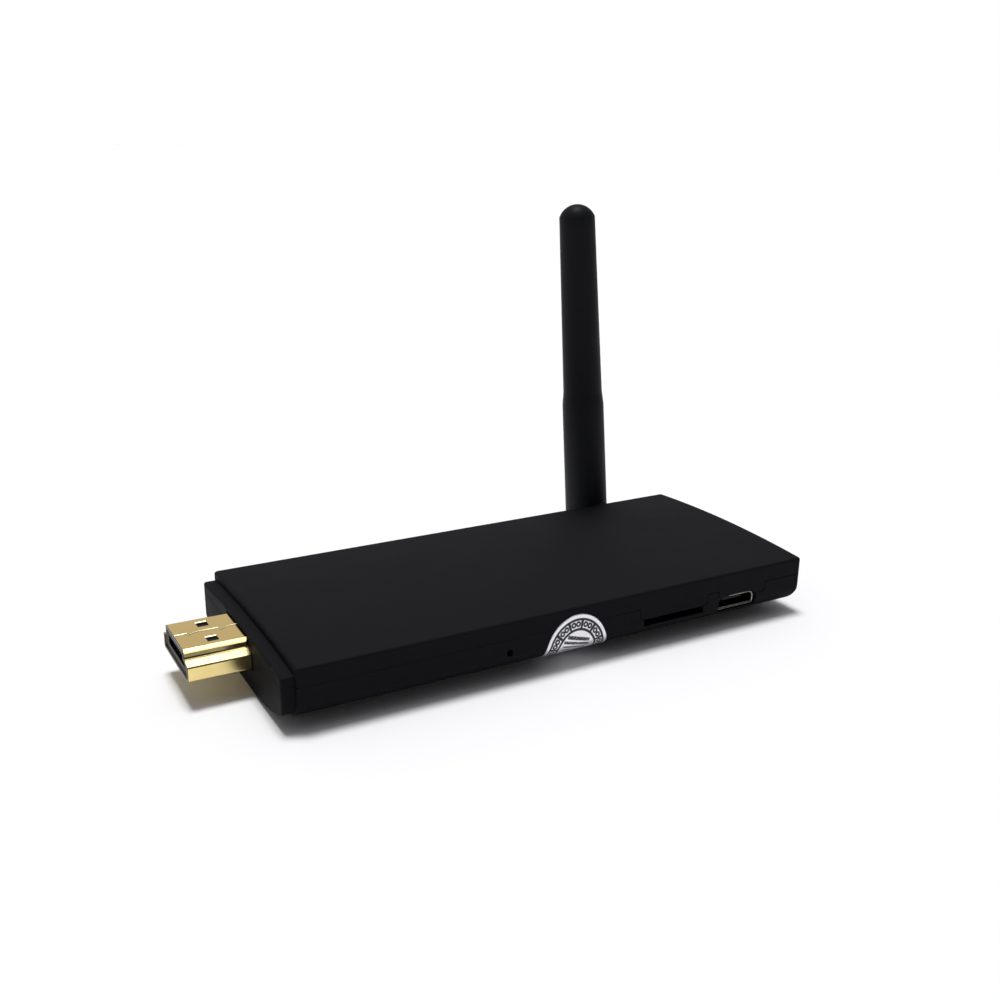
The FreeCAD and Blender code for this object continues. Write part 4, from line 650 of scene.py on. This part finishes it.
# %% Draw the seam
def bead(name, points, width, material, body):
    """A thin round bead along points, made a mesh."""
    bpy.ops.object.select_all(action="DESELECT")
    line = bpy.data.curves.new(name, "CURVE")
    line.dimensions = "3D"
    run = line.splines.new("POLY")
    run.points.add(len(points) - 1)
    for spot, point in zip(run.points, points):
        spot.co = (*[c * MM for c in point], 1)
    line.bevel_depth = width * MM / 2
    line.bevel_resolution = 2
    line.use_fill_caps = True
    piece = bpy.data.objects.new(name, line)
    bpy.context.scene.collection.objects.link(piece)
    piece.select_set(True)
    bpy.context.view_layer.objects.active = piece
    bpy.ops.object.convert(target="MESH")
    bpy.ops.object.shade_smooth_by_angle(angle=math.radians(40))
    piece.data.materials.clear()
    piece.data.materials.append(material)
    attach(piece, body)
    return piece


seam_top = shell_high.z - 0.02
tip, seam = shell_low.x, (shell_low.y + shell_high.y) / 2 + 0.33
seam_path = [(tip + 0.1, seam), (tip + 1.95, seam), (tip + 1.95, seam - 0.7), (tip + 3.2, seam),
             (tip + 6.7, seam), (tip + 6.7, seam - 0.9), (tip + 8.2, seam - 0.1), (tip + 9.6, seam)]
seam_run = [(x, y, seam_top) for x, y in seam_path]
SEAM_WIDTH = 0.2
plug_seam = bead("plug_seam", seam_run, SEAM_WIDTH, finishes["seam_gold"], "case")
print("seam faces:", len(plug_seam.data.polygons))


# %% [markdown]
# ## The latch windows
# Two small windows in the plug's top take the latches of the socket that it goes into. They are punched
# from above, which rolls the far edge of each over a little. That edge faces the lamp and shows as a
# short bright bar. A bevel on the window's edge would be the other way, but the helper for beads is
# there already, and a bead of the window's length does the same. Its paler gold is a painted highlight.

# %% Round the latch windows
RIM_WIDTH = 0.36
rim_level = shell_high.z - 0.2
for side, far_edge in (("near", -1.2), ("back", 4.4)):
    rim_run = [(tip + 4.0, far_edge - 0.12, rim_level), (tip + 5.8, far_edge - 0.12, rim_level)]
    rim = bead("latch_rim_" + side, rim_run, RIM_WIDTH, finishes["seam_gold"], "case")
    print("latch rim from", round(rim_run[0][0], 2), "to", round(rim_run[1][0], 2))


# %% [markdown]
# ## The parting line of the case
# The two shells of the case meet in a groove that is a tenth of a millimetre wide. In the photo it can
# hardly be seen on the near wall and the nose, since the rubbery coat has run into it. The shells
# could be joined into one, but they are two pieces and stay so. A bead of the coat, just below the
# surface, fills the level part of the groove.

# %% Fill the parting line
bottom_low, bottom_high = [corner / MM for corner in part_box("bottom_shell")]
level = 6.95
FILL_WIDTH = 0.13
near, nose = bottom_low.y + FILL_WIDTH / 2, bottom_low.x + FILL_WIDTH / 2
shoulder = bottom_low.x + 2.0
wall_run = [(shoulder + 0.3, near, level), (7.0, near, level)]
nose_run = [(nose, -7.2, level), (nose, near + 1.1, level), (nose + 0.4, near + 0.7, level),
            (shoulder, near + 0.7, level)]
for name, run in (("coat_fill", wall_run), ("nose_coat_fill", nose_run)):
    coat = bead(name, run, FILL_WIDTH, finishes["housing_black"], "case")
print("bottom shell up to", round(bottom_high.z, 3), "near wall at", round(bottom_low.y, 3))


# %% [markdown]
# ## The lip of the power socket
# The socket's shell is bent from thin nickel sheet, and its front edge is rolled over a little. That
# lip catches the light, while the inside stays black. It is a bead too, nearly as wide as the sheet is
# thick. It starts in the top edge, runs round the right end and comes back along the bottom. Its top
# run lies a little below the sheet's own edge, or the case would hide it.

# %% Roll the lip
mouth_low, mouth_high = [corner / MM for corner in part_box("power_shell")]
left, right = mouth_low.x + 0.14, mouth_high.x - 0.14
bottom, top = mouth_low.z + 0.14, mouth_high.z - 0.44
lip_path = [(left + 2.6, top), (right - 0.7, top), (right - 0.3, top - 0.2), (right - 0.07, top - 0.6),
            (right, top - 1.0), (right - 0.03, bottom + 0.45), (right - 0.18, bottom + 0.14),
            (right - 0.5, bottom), (left + 0.3, bottom)]
lip_run = [(x, mouth_low.y - 0.06, z) for x, z in lip_path]
LIP_WIDTH = 0.24
power_lip = bead("power_lip", lip_run, LIP_WIDTH, finishes["lip_nickel"], "case")
print("lip faces:", len(power_lip.data.polygons))
